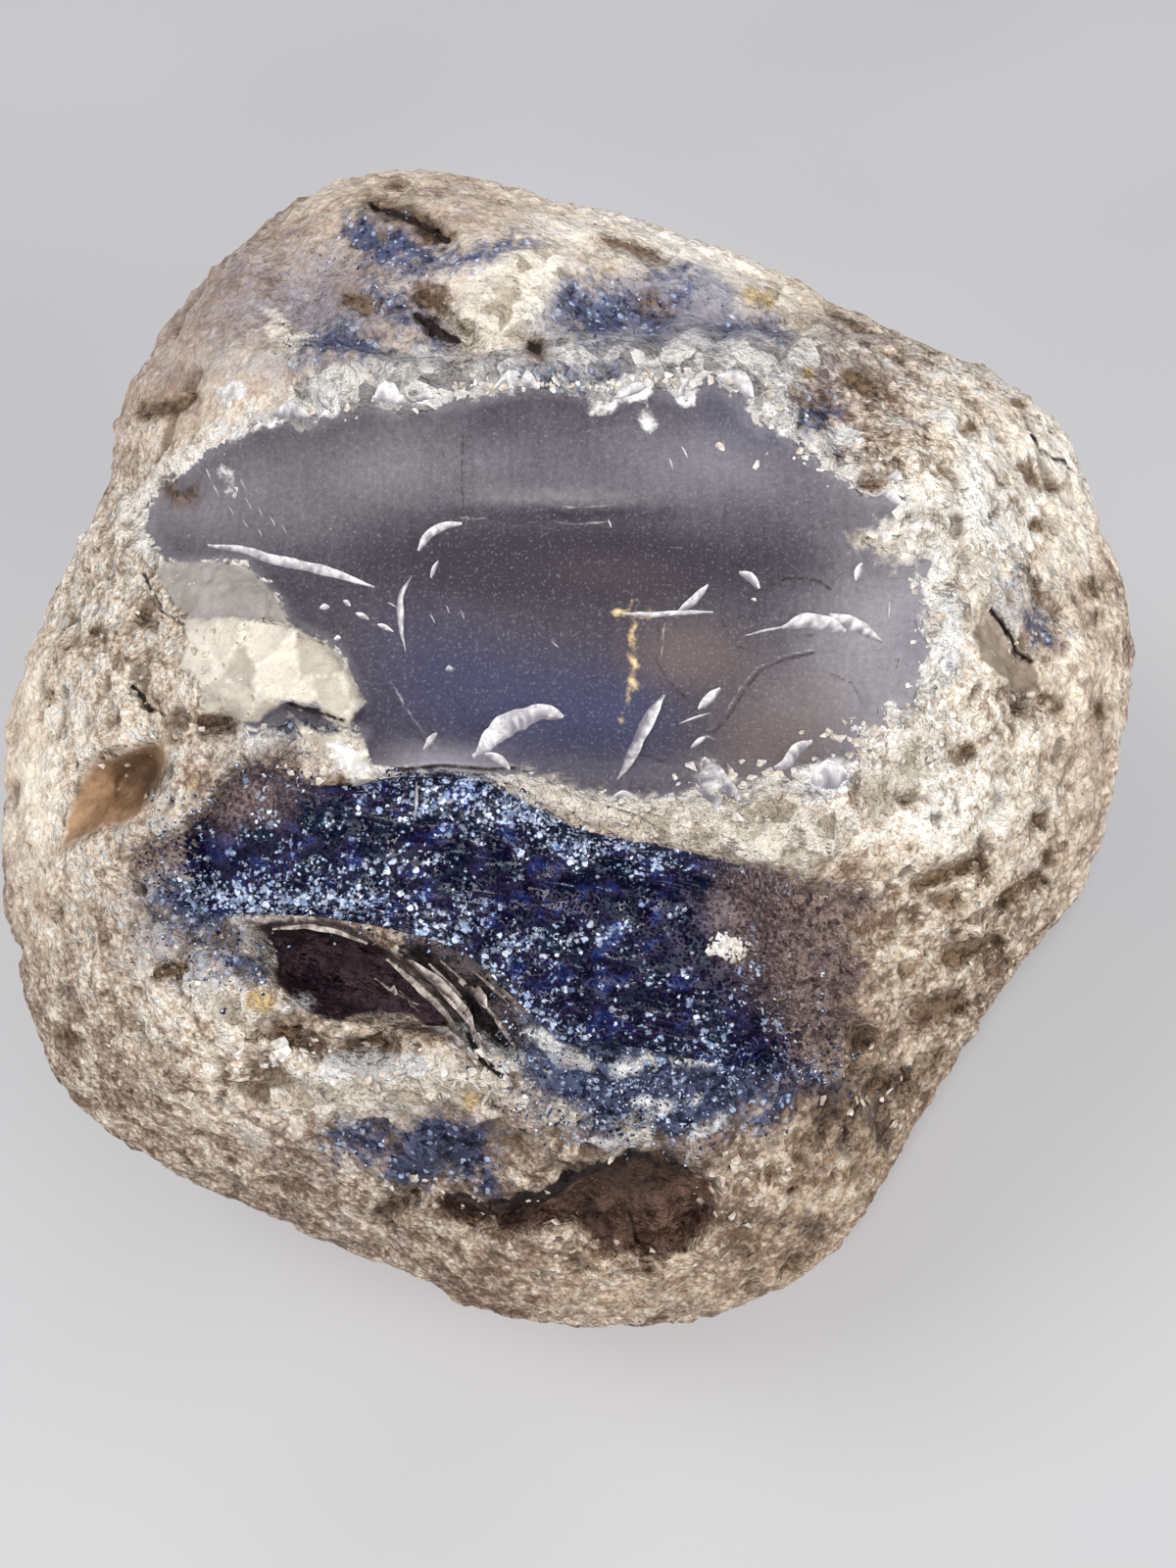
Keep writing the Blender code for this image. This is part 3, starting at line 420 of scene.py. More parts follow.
# soft washes of tone: middle, half width, half height, strength
WASHES = {
    # how pale the bare window is: its own haze and bands, with painted reflections that lighten
    # the top left and the right
    "haze_and_painted_reflection": (
        ((-27, 23), 12, 6, 0.2), ((-15, 27), 8, 5, 0.15), ((0, 26), 10, 4, 0.18),
        ((12, 26), 7, 4, 0.24), ((25, 12), 8, 14, 0.36), ((-3, 23.4), 7, 0.7, 0.16),
        ((-2, 22.1), 8, 0.4, -0.18), ((0, 18), 16, 2.6, -0.22), ((18, 6), 6, 5, 0.1),
        ((-12, 2.2), 5, 1.4, 0.35), ((4, 1), 14, 1.6, 0.14), ((-33, 22), 4, 3, 0.12),
    ),
    # paleness of the skin: its own pale and dark patches, with a painted highlight along the
    # crest, and darker at the top left and the bottom, partly painted shade
    "pale_and_painted_light": (
        ((0, 35), 30, 1.3, 0.9), ((33, 4), 9, 18, 0.5), ((-40, 8), 8, 20, 0.4),
        ((-34, 40), 10, 14, -0.4), ((27, 6), 5, 16, 0.5), ((-20, -32), 16, 7, -0.35),
        ((31, 20), 6, 8, 0.5), ((26, 0), 9, 6, 0.6), ((-35, 10), 6, 8, 0.5), ((-6, 40), 6, 5, 0.9),
        ((-32, -17), 7, 5, 0.5), ((-16, -24.6), 12, 3, 0.8), ((34, 28), 9, 8, 0.5),
        ((10, 43), 14, 5, 0.45), ((-40, -20), 8, 8, -0.2), ((0, -41), 26, 3.5, -0.3),
        ((26, -28), 6, 8, -0.3), ((8, -3), 14, 2.4, 0.5), ((-32, 34), 8, 8, 0.2),
        ((4, 44), 22, 5, 0.5), ((34, 26), 7, 9, 0.6), ((-42, -2), 6, 22, 0.35),
        ((-34, -24), 8, 6, 0.3), ((28, 5), 5, 14, 0.5), ((-29, -14), 5, 3, 0.5),
        ((-4, 49), 22, 3, 0.35), ((12, 38), 5, 3, 0.4),
    ),
    "cool": (
        ((-4, 6), 11, 6, 0.7), ((-14, 11), 8, 7, 0.42), ((4, 5), 5, 6, 0.3),
        ((-2, 27), 9, 4, 0.35), ((14, 24), 8, 7, 0.3), ((-20, 40), 13, 8, 0.35),
        ((2, 38), 14, 3, 0.7), ((-30, -13), 8, 5, 0.7), ((-18, -29), 12, 5, 0.5),
        ((16, 31), 10, 4, 0.4), ((28, 12), 4, 5, 0.5), ((36, 14), 4, 4, 0.6),
        ((4, -26), 12, 5, 0.6), ((-27, 3), 8, 3, 0.5), ((0, 34), 24, 1.4, 0.6),
        ((-34, -7), 5, 5, 0.6), ((-11, -17), 3, 3, 0.6), ((-22, 38), 8, 4, 0.3),
        ((14, 36.6), 12, 1.6, 0.5), ((0, 45), 34, 9, 0.28), ((34, 28), 8, 8, 0.25),
        ((-36, 34), 12, 12, 0.3), ((8, 39), 5, 3, 0.6), ((6, -23.8), 12, 1.8, 0.7),
        ((-6, -19.4), 3, 3, 0.6),
    ),
    "warm": (
        ((8, 10.6), 7, 3.6, 0.8), ((15, 3), 6, 4, 0.8), ((20, 8), 5, 4, 0.4),
        ((-26, 24), 10, 5, 0.35), ((20, -12), 10, 10, 0.4), ((24, -30), 12, 10, 0.6),
        ((4, -40), 22, 8, 0.45), ((-28, 0), 8, 4, 0.4), ((2, 17.4), 12, 3, 0.4),
        ((36, -6), 12, 12, 0.4), ((-34, -28), 14, 8, 0.2),
    ),
    # skin that is worn smooth, as a share of its grain
    "worn": (
        ((-8, 43), 22, 7, 0.6), ((-34, 36), 8, 12, 0.5), ((12, 41), 16, 5, 0.5),
        ((6, -41), 16, 4, 0.2), ((-6, 48.5), 24, 3, 0.5), ((36, 30), 8, 8, 0.3),
        ((41, 10), 5, 22, 0.4), ((-46, 2), 4, 18, 0.5), ((-30, 34), 10, 5, 0.3),
        ((20, -36), 6, 8, 0.1),
    ),
    # painted shade: colour darkened in hollows and at the foot of broken edges, where shade falls
    "shade": (
        ((-36, 0.6), 2.6, 2.4, 0.6), ((-22, -12.6), 8, 1.6, 0.4), ((-4.3, 35.5), 1.0, 0.7, 0.7),
        ((-16, 46.8), 2.4, 0.9, 0.6), ((-13, 45.4), 1.4, 0.8, 0.7), ((6, -30.6), 7, 1.0, 0.5),
        ((35.8, 6.8), 1.0, 1.0, 0.3), ((-29.6, 5), 1.6, 0.8, 0.4), ((-14, -14.8), 2, 1.0, 0.45),
        ((-11.4, -17), 1.9, 1.4, 0.45), ((-9, -19.8), 1.8, 1.7, 0.4),
        ((-12, -30.4), 3.4, 2.2, 0.3), ((2.4, -31.8), 5, 1.0, 0.9), ((-8, -34.8), 5, 0.8, 0.9),
        ((20, -26.4), 1.0, 2, 0.4), ((22.6, -26.8), 0.8, 2, 0.4), ((-24, 5.2), 3, 0.8, 0.4),
        ((3, -35), 2.6, 2.4, 0.3), ((22, -21), 1.2, 1.0, 0.5),
    ),
}
# marks whose edges the mesh follows closely
CRISP_MARKS = ("scar", "facet", "cream", "hollow", "tan", "umber", "cave")
# a step in the surface along a mark's edge: mark, height, half width of the step, raggedness
FINE_STEPS = (
    ("cream", 0.3, 0.25, 0.4), ("facet", 0.5, 0.15, 0.1), ("white", 0.15, 0.25, 0.3),
    ("scar", -0.3, 0.15, 0.0), ("umber", -0.6, 0.6, 0.5), ("cave", -0.7, 0.4, 0.4),
    ("pit", -0.9, 0.6, 0.5), ("dark_line_and_shade", -0.4, 0.2, 0.0), ("crack", -0.15, 0.15, 0.0),
    ("slit", -0.4, 0.5, 0.4),
)
RAGGED_CELL = 1.1
# marks that are broken into flat facets: mark, where they start and are full past its edge, and
# the heights and sizes of the facets (mm)
BROKEN_MARKS = (
    ("cream", (-0.2, 0.4), ((0.3, 1.5), (0.12, 0.7))),
    ("facet", (-0.1, 0.3), ((0.3, 2.3),)),
    ("umber", (0.0, 0.8), ((0.45, 2.0), (0.2, 0.9))),
)
# the cavity's facets are long and slanted
HOLLOW_FADE, HOLLOW_ROUGH, HOLLOW_FACET = (0.0, 0.6), 0.35, 2.2
HOLLOW_SLANT = ((0.8, 0.5), (-0.4, 1.0))

# ---- Colours (0 to 255, as a screen shows them) and patterns of the stone ----
# how far patterns are drawn out along the face's axis, and how far cells are pulled out of shape
STRETCH, STRAY, STRAY_SCALE = 0.5, 0.4, 1.6
# noises: size of their patches (mm), detail, roughness
SPECK, PATCH, CLOUD = (0.42, 3.0, 0.65), (3.2, 3.0, 0.6), (13.0, 2.0, 0.5)
STIR, MOTTLE = (0.9, 3.0, 0.65), (0.75, 3.0, 0.7)
BIG_CHIP, SMALL_CHIP, GRAIN_CELL = 1.5, 0.6, 0.45
# tone of the weathered skin: its range, and the colours from the darkest to the palest
SKIN_RANGE = (0.96, 2.10)
SKIN_RAMP = (
    (0.0, (110, 88, 72)), (0.3, (170, 148, 130)), (0.55, (213, 194, 172)), (0.8, (242, 229, 210)),
    (1.0, (255, 250, 240)),
)
SKIN_ROUGH = (0.4, 0.7, 0.85, 0.55)   # the specks' range, and the roughness at its two ends
# what is left of the grain and the blotches, and how flat it is, where the skin is worn
WORN_GRAIN, WORN_BLOTCH = (0.0, 0.5, 1.0, 0.35), (0.0, 0.6, 1.0, 0.45)
WORN_FLAT = (0.0, 0.6, 0.0, 0.6)
# stains, the pits' brown with painted shade, and painted shade: the two values between which they
# change, their share at each, colour
COOL_STAIN = ((0.58, 1.15, 0.0, 0.75), (112, 116, 140))
WARM_STAIN = ((0.6, 1.2, 0.0, 0.75), (160, 128, 88))
# brown in pits and pores, deeper the lower they lie below the smooth skin: partly their own brown
# and partly painted shade
PIT_BROWN_AND_SHADE = ((-0.55, -0.05, 0.75, 0.0), (104, 84, 66))
RIM_STAIN = ((0.2, 2.6, 0.0, 0.8), (244, 240, 234))
# painted shade in hollows and at the foot of broken edges
PAINTED_SHADE = ((0.0, 0.7, 0.0, 0.75), (44, 32, 28))
# layers of colour over the skin, lowest first: mark, pattern inside it, dark and light colour,
# softness of its edge, how far the edge strays (mm), roughness
UNDER_WINDOW = (
    ("ridge", "chipped", (136, 132, 131), (224, 219, 212), 1.2, 2.2, 0.6),
    ("dusk", "speckled", (56, 42, 44), (146, 126, 117), 1.4, 2.6, 0.6),
    ("blue", "speckled", (12, 16, 40), (86, 92, 120), 1.3, 2.8, 0.5),
)
OVER_WINDOW = (
    ("umber", "speckled", (48, 33, 27), (126, 103, 83), 0.8, 1.6, 0.6),
    ("cave", "flat", (44, 28, 24), (124, 96, 82), 0.5, 1.4, 0.45),
    ("pit", "speckled", (66, 50, 36), (136, 112, 88), 0.45, 1.0, 0.7),
    ("slate", "flat", (112, 98, 84), (158, 143, 127), 0.2, 0.2, 0.6),
    ("tan", "flat", (112, 82, 57), (166, 134, 102), 0.6, 0.7, 0.55),
    ("slit", "speckled", (20, 15, 22), (92, 82, 84), 0.6, 1.6, 0.5),
    ("hollow", "flat", (32, 20, 29), (78, 60, 66), 0.2, 0.4, 0.35),
    ("scar", "flat", (140, 134, 127), (166, 160, 152), 0.2, 0.2, 0.45),
    ("cream", "chipped", (176, 163, 144), (232, 223, 208), 1.1, 2.4, 0.5),
    ("facet", "faceted", (172, 163, 149), (206, 197, 182), 0.2, 0.3, 0.4),
    ("white", "chipped", (186, 182, 178), (236, 234, 230), 0.4, 1.1, 0.5),
    ("gleam", "speckled", (100, 96, 100), (168, 164, 166), 0.1, 0.1, 0.5),
    ("gold", "speckled", (150, 124, 90), (216, 190, 140), 0.3, 0.7, 0.5),
    ("crack", "speckled", (38, 31, 35), (66, 57, 60), 0.1, 0.1, 0.7),
    # dark lines in cracks and creases, partly painted shade
    ("dark_line_and_shade", "speckled", (22, 16, 17), (50, 39, 34), 0.1, 0.2, 0.6),
)
# the values between which the patterns inside a mark go from its dark to its light colour
INNER_RANGE, FACETED_RANGE = (0.38, 0.68), (0.1, 1.0)
# the broken chip's large facets: size (mm) and bright rims
FACET_SIZE, FACET_RIM = 3.4, ((0.2, 0.1, 0.0, 0.5), (238, 230, 216))
# painted glints in the blue marks, as single pale grains: which grains, and how they fade from
# their middle
GLINT_CHOICE, GLINT_FADE, GLINT = (0.85, 0.95), (0.4, 0.6, 0.75, 0.0), (186, 204, 232)
# marks whose surface is flat, and how flat they are
FLAT_MARKS = (("facet", 0.85), ("scar", 0.9), ("slate", 0.9), ("tan", 0.9))
FLAT_FADE, STONE_BUMP, STONE_SHINE = (-0.3, 0.2), 0.8, 0.18
# bare chalcedony: where it starts, its roughness and flatness, tones, stains and dust
WINDOW_START, WINDOW_ROUGH, WINDOW_FLAT = (0.85, 1.15), 0.75, 0.96
WINDOW_TONES = ((0.12, 1.22), (52, 45, 54), (186, 182, 185))
WINDOW_COOL = ((0.1, 1.0, 0.0, 0.8), (52, 55, 86))
WINDOW_WARM = ((0.2, 0.9, 0.0, 0.6), (104, 90, 84))
WINDOW_RIM = ((1.0, 0.0, 0.0, 0.2), (160, 156, 160))
DUST_SIZE, DUST_CHOICE, DUST_SHARE, DUST = 0.2, (0.56, 0.74), 0.16, (176, 172, 178)
CALM, STREAK = (7.0, 1.0), (1.0, 2.0, 0.6)
STREAK_SHAPE = (2.2, 0.25, 0.25)      # streaks are fine along the first axis and long across it
# where the washes end, past the outline of the face, and how pale the back is
WASH_FADE, BACK_PALE = (-0.5, 0.1), 0.4

# ---- Druse ----
CRYSTAL_SIDES = 6
CRYSTAL_POINTS = CRYSTAL_SIDES + 1
CRYSTAL_STEP, CRYSTAL_STRAY = 0.34, 0.45
CRYSTAL_RADIUS = (0.12, 0.26)
CRYSTAL_HEIGHT = (0.10, 0.34)
CRYSTAL_TILT = 0.35
CRYSTAL_ROOT = 0.3
DRUSE_SEED = 11
DRUSE_RAGGED = (-0.5, 0.2)            # how far crystals stray in and out over its edge (mm)
CRUST_CENTRE = (-5.0, -8.6)
CRUST_THICKNESS, CRUST_GAP = 1.1, 0.55
CRUST_LEFT, CRUST_RIGHT = (-33.5, -29.5), (11.0, 17.5)
CRUST_SINK, CRUST_WIDER = 1.2, 0.1
# how full the slab's plan and its height are, its grain (size, height) and mean level (mm)
CRUST_FULL, CRUST_FLAT, CRUST_GRAIN, CRUST_LEVEL = 0.9, 0.35, ((0.9, 0.35),), 0.12
# noises (size in mm, detail, roughness), the ground's colours, bluish flecks, brown places
FLECK, GROUND, SPARKLE, SPARKLE_BUMP = (0.3, 3.0), (1.9, 3.0, 0.65), (0.12, 2.0), 0.03
GROUND_RANGE = (0.3, 0.7)
GROUND_RAMP = (
    (0.0, (6, 22, 44)), (0.35, (7, 8, 32)), (0.65, (24, 13, 42)), (1.0, (26, 40, 90)),
)
FLECK_STAIN = ((0.5, 0.75, 0.0, 0.3), (36, 52, 104))
EARTH_TONES, EARTH_RANGE = ((0.3, 0.7), (50, 37, 42), (130, 112, 110)), (0.55, 1.1)
DRUSE_ROUGH, DRUSE_SHINE = (0.3, 0.7, 0.15, 0.35), 0.35
# pale plates, partly frost and partly painted glints: size (mm), how few show, how they fade from
# their middle, how bright
PLATES, PLATE_SOFT = ((0.28, 1.06), (0.48, 1.08)), 0.1
PLATE_FADE, PLATE_BRIGHT = (0.42, 0.62, 1.0, 0.0), (0.0, 1.0, 0.3, 1.0)
GLINT_PLATE_DARK, GLINT_PLATE_LIGHT = (140, 166, 206), (228, 234, 246)
# share of pale plates (frost and painted glints) on the crust and on single crystals, and their
# groups (size, strength)
CRUST_GLINT_FROST, SPRINKLE_GLINT_FROST = 0.22, 0.7
GLINT_FROST_GROUPS = ((2.8, 0.55), (1.2, 0.45))
# where the plates of frost and painted glints are thick or thin: middle, half width, half height,
# strength
GLINT_FROST_SPOTS = (
    ((-12, -1), 6, 1.8, 0.7), ((-21, -9.9), 9, 1.0, 0.9), ((-32, -8.6), 3.5, 2.5, 0.6),
    ((-6, -2.6), 4, 1.8, 0.6), ((0, -5.2), 4, 1.2, 0.6), ((7, -6.6), 5, 0.9, 0.35),
    ((-20, -7), 6, 2, 0.25), ((-10, -12.4), 4, 1.6, 0.45), ((-6, -15.6), 3, 2.2, 0.4),
    ((-1, -12), 3, 3, 0.2), ((-3, -20), 3, 1.2, 0.4), ((8, -21.4), 9, 0.9, 0.25),
    ((11, -19), 7, 2, 0.1), ((-5, -8), 7, 2, -0.3), ((18, -12), 7, 6, -0.1),
    ((5, -14), 9, 3, -0.12), ((-29, -2), 6, 3, -0.05), ((12, -10), 6, 3, -0.2),
)
BROWN = (((20, -13), 7, 8, 1.0), ((-29, -1), 6.4, 3.2, 0.75), ((13, -10), 5, 5, 0.4))
# other places with small crystals: middle, half width, half height, share of places taken
SPRINKLES = (
    ((4, -26), 8, 3, 0.8), ((-28.5, -14.6), 3, 2, 0.6), ((-32, -11.6), 3, 1.6, 0.8),
    ((8, -23.4), 12, 1.2, 0.6), ((-34, -4), 2, 3, 0.3), ((-17, 43.6), 3.6, 2.6, 0.25),
    ((3, 38), 5, 2, 0.2), ((-18, -29), 2.4, 1.4, 0.4), ((-6, -20), 2.4, 3.4, 0.5),
    ((-11, -13), 3, 0.8, 0.6), ((-16.5, -11.8), 4, 0.7, 0.7), ((8, -21.8), 9, 0.8, 0.5),
    ((-22, 36), 4, 1.2, 0.2), ((-16, 39.6), 1.6, 1.6, 0.4),
)
SPRINKLE_REACH = 1.6

# ---- Shards on the window: half width, lift of the raised edge, points ----
SHARDS = (
    (0.40, 0.35, ((-13.8, 19), (-13, 20.3), (-11.5, 21.1), (-10.3, 21.2))),
    (0.22, 0.20, ((-12.8, 16.8), (-12.2, 18.2))),
    (0.42, 0.30, ((-31, 19.4), (-28, 19), (-26, 18.2), (-23, 17.6), (-20.5, 17), (-17.4, 16))),
    (0.38, 0.35, ((-14.4, 17), (-15.4, 15.4), (-15.3, 12.5), (-14.9, 10.8))),
    (0.22, 0.2, ((-21.9, 14.3), (-21.1, 14.4))), (0.2, 0.2, ((-20, 14.9), (-19.4, 14.5))),
    (0.2, 0.2, ((-19, 13.9), (-17.9, 13.4))), (0.25, 0.2, ((-17.2, 13), (-15.9, 12.4))),
    (0.22, 0.2, ((-20.8, 11.8), (-20.2, 11.9))), (0.25, 0.25, ((-13.4, 2.8), (-12.3, 4.1))),
    (0.95, 0.6, ((-9.4, 2.2), (-7.6, 3.6), (-5.6, 5.1), (-3.6, 5.7), (-2, 5.4))),
    (0.4, 0.3, ((-8.4, 2.4), (-7.2, 1.9), (-6.4, 1.1))),
    (0.7, 0.5, ((6.2, 7.3), (5.0, 5.6), (4.0, 3.4), (3.2, 1.6), (2.4, 0.4))),
    (0.28, 0.25, ((2.6, 13.9), (5, 13.7), (7.6, 13.9), (10.2, 14))),
    (0.42, 0.3, ((7.2, 13.9), (8.6, 14.8), (9.8, 16.2))),
    (0.16, 0.15, ((12.8, 12.1), (14.6, 12.5), (16.4, 12.9))),
    (0.75, 0.5, ((15.8, 12.7), (17.6, 13.3), (19.6, 12.9), (21, 12.4))),
    (0.65, 0.5, ((19.6, 13.8), (21.2, 13.1), (22.6, 12.5), (24, 11.6))),
    (0.38, 0.35, ((12.3, 17.2), (13.2, 16.9), (13.9, 15.9))),
    (0.16, 0.2, ((13.3, 15.1), (13.7, 14.9))), (0.35, 0.3, ((21.9, 16.6), (22.4, 18))),
    (0.14, 0.15, ((24.6, 15), (24.5, 13.6))), (0.5, 0.35, ((9, 6.1), (9.8, 6.8), (10.8, 7.8))),
    (0.14, 0.15, ((7.4, 4.9), (8.8, 5.4), (10, 5.8))), (0.26, 0.25, ((8.4, 2.9), (9.6, 3.8))),
    (0.3, 0.25, ((-11.6, 9.3), (-11, 9.4))),
    (0.5, 0.4, ((15.2, 1.2), (16.4, 1.5), (17, 2.7), (18.3, 3.4))),
    (0.25, 0.25, ((22, 4), (22.4, 4.6))), (0.2, 0.25, ((1.9, -1.2), (3, -0.7), (3.8, -1.3))),
    (1.0, 0.5, ((9.6, 1.9), (9.8, 0), (10.2, -2.2))),
    (0.5, 0.4, ((9.7, 1.6), (11, 0), (12, -1.4))), (1.3, 0.4, ((18, 0.2), (19.6, 0.4), (21, 0.8))),
    (0.5, 0.3, ((24.3, 25), (25.4, 24.6))), (0.6, 0.3, ((23.9, 23.6), (25.4, 22.7))),
    (0.3, 0.2, ((-23.6, 6.6), (-21.6, 6.2))), (0.3, 0.3, ((-30, 25.9), (-29.5, 25.2))),
    (0.22, 0.2, ((-29, 24.3), (-28.6, 23.8))), (0.55, 0.3, ((-21.8, 31.4), (-21, 30.4))),
    (0.5, 0.3, ((2.2, 31.6), (4.8, 32.4))), (0.4, 0.3, ((-14.6, 31.4), (-12.6, 31.8))),
    (0.34, 0.3, ((7.2, 31.6), (8.2, 32.8))), (0.2, 0.5, ((-14, 0.2), (-14, -1.2), (-14.2, -3))),
    (0.1, 0.12, ((-31.2, 25.8), (-30.8, 24.8))), (0.09, 0.12, ((-30.6, 24.4), (-30.1, 23.4))),
    (0.1, 0.12, ((-28.4, 24.9), (-27.9, 23.9))), (0.09, 0.1, ((-28, 23.4), (-27.4, 22.3))),
    (0.08, 0.1, ((-29.4, 22.8), (-28.9, 21.9))), (0.08, 0.1, ((-27, 22.7), (-26.5, 21.7))),
    (0.08, 0.1, ((-28.2, 21.6), (-27.7, 20.8))), (0.08, 0.1, ((-26, 21.9), (-25.5, 21))),
    (0.07, 0.1, ((-27, 20.9), (-26.6, 20.2))), (0.07, 0.1, ((-25, 21.2), (-24.6, 20.4))),
    (0.1, 0.12, ((-12.9, 13.9), (-12.5, 13.1))), (0.08, 0.1, ((-11.6, 14.6), (-11.3, 13.9))),
    (0.08, 0.1, ((-10.4, 14.2), (-10.1, 13.4))), (0.09, 0.1, ((-16.4, 14.8), (-15.6, 14.4))),
    (0.08, 0.1, ((6.6, 26.6), (6.9, 25.7))), (0.1, 0.12, ((7.6, 27.6), (8.1, 26.6))),
    (0.08, 0.1, ((1.6, 21.6), (1.9, 20.9))), (0.08, 0.1, ((-3, 11.6), (-2.4, 11.1))),
    (0.9, 0.35, ((-17.6, 31.4), (-16.2, 31.9), (-14.8, 31.2))),
    (0.8, 0.3, ((-7.6, 32.4), (-5.6, 32.9), (-4, 32.2))),
    (0.7, 0.3, ((10.4, 32.8), (12, 32.1), (13, 30.8))),
    (0.8, 0.35, ((-25.8, 30.2), (-24, 30.6), (-22.6, 29.9))),
)
# splinters beside the cavity
SPLINTERS = (
    (0.16, 0.5, ((-16.4, -14.2), (-14, -16.2), (-11.8, -18.4), (-10.4, -20.2))),
    (0.13, 0.45, ((-14.6, -14.4), (-12.2, -16.4), (-10, -19), (-8.2, -21.8))),
    (0.11, 0.4, ((-13, -14.6), (-10.8, -16.8), (-8.8, -19.2))),
    (0.13, 0.45, ((-12, -14.4), (-9.6, -16.6), (-7.4, -19.2), (-5.8, -21.6))),
    (0.1, 0.4, ((-10, -14.8), (-8, -16.4), (-6.4, -18))), (0.1, 0.3, ((-9.4, -20.6), (-8, -22.8))),
    (0.12, 0.4, ((-17.4, -15.8), (-15.4, -17.2), (-13.8, -18))),
    (0.15, 0.4, ((-13.6, -19.8), (-11.6, -20.4), (-9.8, -21.8), (-8.6, -23.4))),
    (0.1, 0.4, ((-15.6, -16.6), (-13.6, -18.8))), (0.1, 0.3, ((-11.6, -21), (-9.8, -22.8))),
    (0.12, 0.4, ((-25.8, -11.8), (-23, -11.5), (-20.6, -11.9), (-18, -13))),
)

# a flake's long edges: place across it, height (mm), share of its lift, how clear it is
FLAKE_EDGES = (
    (-1.0, -0.12, 0.0, 1.0), (-0.2, 0.0, 0.45, 0.55), (1.0, 0.0, 1.0, 0.0),
    (0.75, -0.35, 0.0, 0.3),
)
# its pieces (mm, least number), how blunt its ends are in width and height, and its ragged width
FLAKE_STEP, FLAKE_LEAST, FLAKE_SEED = 0.35, 6, 5
FLAKE_WIDTH, FLAKE_HEIGHT, FLAKE_RAGGED, FLAKE_STRAY = (0.04, 0.7), (0.06, 0.5), (0.7, 1.2), 0.3
FLAKE_PATCH, FLAKE_RANGE, FLAKE_BUMP, FLAKE_SHINE = (0.7, 4.0, 0.65), (0.35, 0.65), 0.02, 0.3
FLAKE_CLEAR, FLAKE_ROUGH = (0.55, 1.25, 0.0, 0.9), (0.3, 0.7, 0.4, 0.6)
# their colours: dark, light, and where they are clear
SHARD_COLOURS = ((162, 158, 159), (226, 223, 221), (106, 100, 110))
SPLINTER_COLOURS = ((112, 98, 92), (204, 194, 184), (66, 52, 52))

# ---- Crumbs of broken stone: middle, half width, half height, how many, greatest size (mm) and
# how white they are ----
CRUMB_ZONES = (
    ((28.8, 11), 1.8, 9, 120, 0.8, 0.8), ((24, 3.4), 4.6, 2.2, 70, 1.0, 0.6),
    ((14, 0.2), 6, 1.4, 50, 0.9, 0.6), ((20, 26.4), 6, 1.8, 40, 0.8, 0.6),
    ((26.6, 20.4), 2.4, 2, 26, 1.2, 0.7), ((-8, 32.6), 12, 0.6, 40, 0.8, 0.5),
    ((6, 32.8), 8, 0.6, 36, 0.9, 0.6), ((-24, 30.6), 6, 0.7, 26, 0.7, 0.5),
    ((-32, 27.4), 3, 2, 20, 0.6, 0.4), ((15.6, 30.4), 1.8, 2.4, 30, 0.8, 0.7),
    ((-22, 2.6), 4, 1.8, 40, 0.9, 0.5), ((-31.5, 8), 2.4, 3, 40, 0.9, 0.3),
    ((-34, 14), 2, 3, 30, 0.7, 0.3), ((-24, -21.6), 3, 1.4, 26, 1.3, 0.5),
    ((-15, -23.6), 8, 1.8, 70, 1.1, 0.4), ((-7, -25.4), 4, 1.8, 30, 0.9, 0.5),
    ((6, -2.8), 9, 1.4, 60, 0.9, 0.4), ((-32, -15), 5, 3, 50, 0.7, 0.4),
    ((-36, 6), 4, 4, 50, 0.7, 0.2), ((24, -26), 4, 4, 40, 1.0, 0.1),
    ((12, -33), 4, 3, 30, 0.9, 0.2), ((30, 2), 6, 6, 90, 0.8, 0.3), ((30, -8), 7, 5, 90, 0.8, 0.1),
    ((-36, -20), 5, 5, 60, 0.7, 0.2), ((-38, 14), 4, 7, 60, 0.6, 0.2),
    ((32, 18), 4, 6, 60, 0.8, 0.4), ((34, -14), 3, 4, 40, 0.8, 0.1),
    ((-10, -34), 10, 3, 40, 0.7, 0.1), ((6, -39), 12, 3, 50, 0.7, 0.1),
    ((11.6, -13.4), 1.2, 0.6, 60, 0.9, 0.7),
)
CRUMB_SEED, CRUMB_CORNERS = 5, 9
# how they spread in their zone, their sizes, how white they are, and their shape
CRUMB_SPREAD, CRUMB_SHARE, CRUMB_POWER, CRUMB_WHITES = 0.6, (0.3, 1.0), 1.5, (-0.5, 0.3)
CRUMB_RADIUS, CRUMB_FLAT, CRUMB_PROUD = 0.6, 0.55, 0.04
CRUMB_PATCH, CRUMB_ROUGH, CRUMB_BUMP, CRUMB_SHINE = (0.5, 3.0), (0.3, 0.7, 0.5, 0.7), 0.05, 0.25
CRUMB_WARM = ((0.3, 0.7), (140, 124, 108), (204, 192, 176))
CRUMB_WHITE = ((0.3, 0.7), (176, 170, 165), (232, 229, 225))

# ---- Studio ----
FLOOR_HALF = 1.6
FLOOR_CLOUD, FLOOR_ROUGH, FLOOR_SHINE = (60.0, 1.0), 0.9, 0.5
FLOOR_TONES = ((0.3, 0.7), (180, 179, 180), (185, 184, 184))
WORLD_LIGHT, WORLD_COLOUR = 0.55, (240, 242, 250)
# lamps: place (m), size (m), power (W)
LAMPS = (
    ((-0.06, -0.35, 0.61), 0.06, 3.0),
    ((-0.38, -0.16, 0.72), 0.34, 2.0),
    ((0.50, -0.42, 0.34), 0.60, 2.8),
)


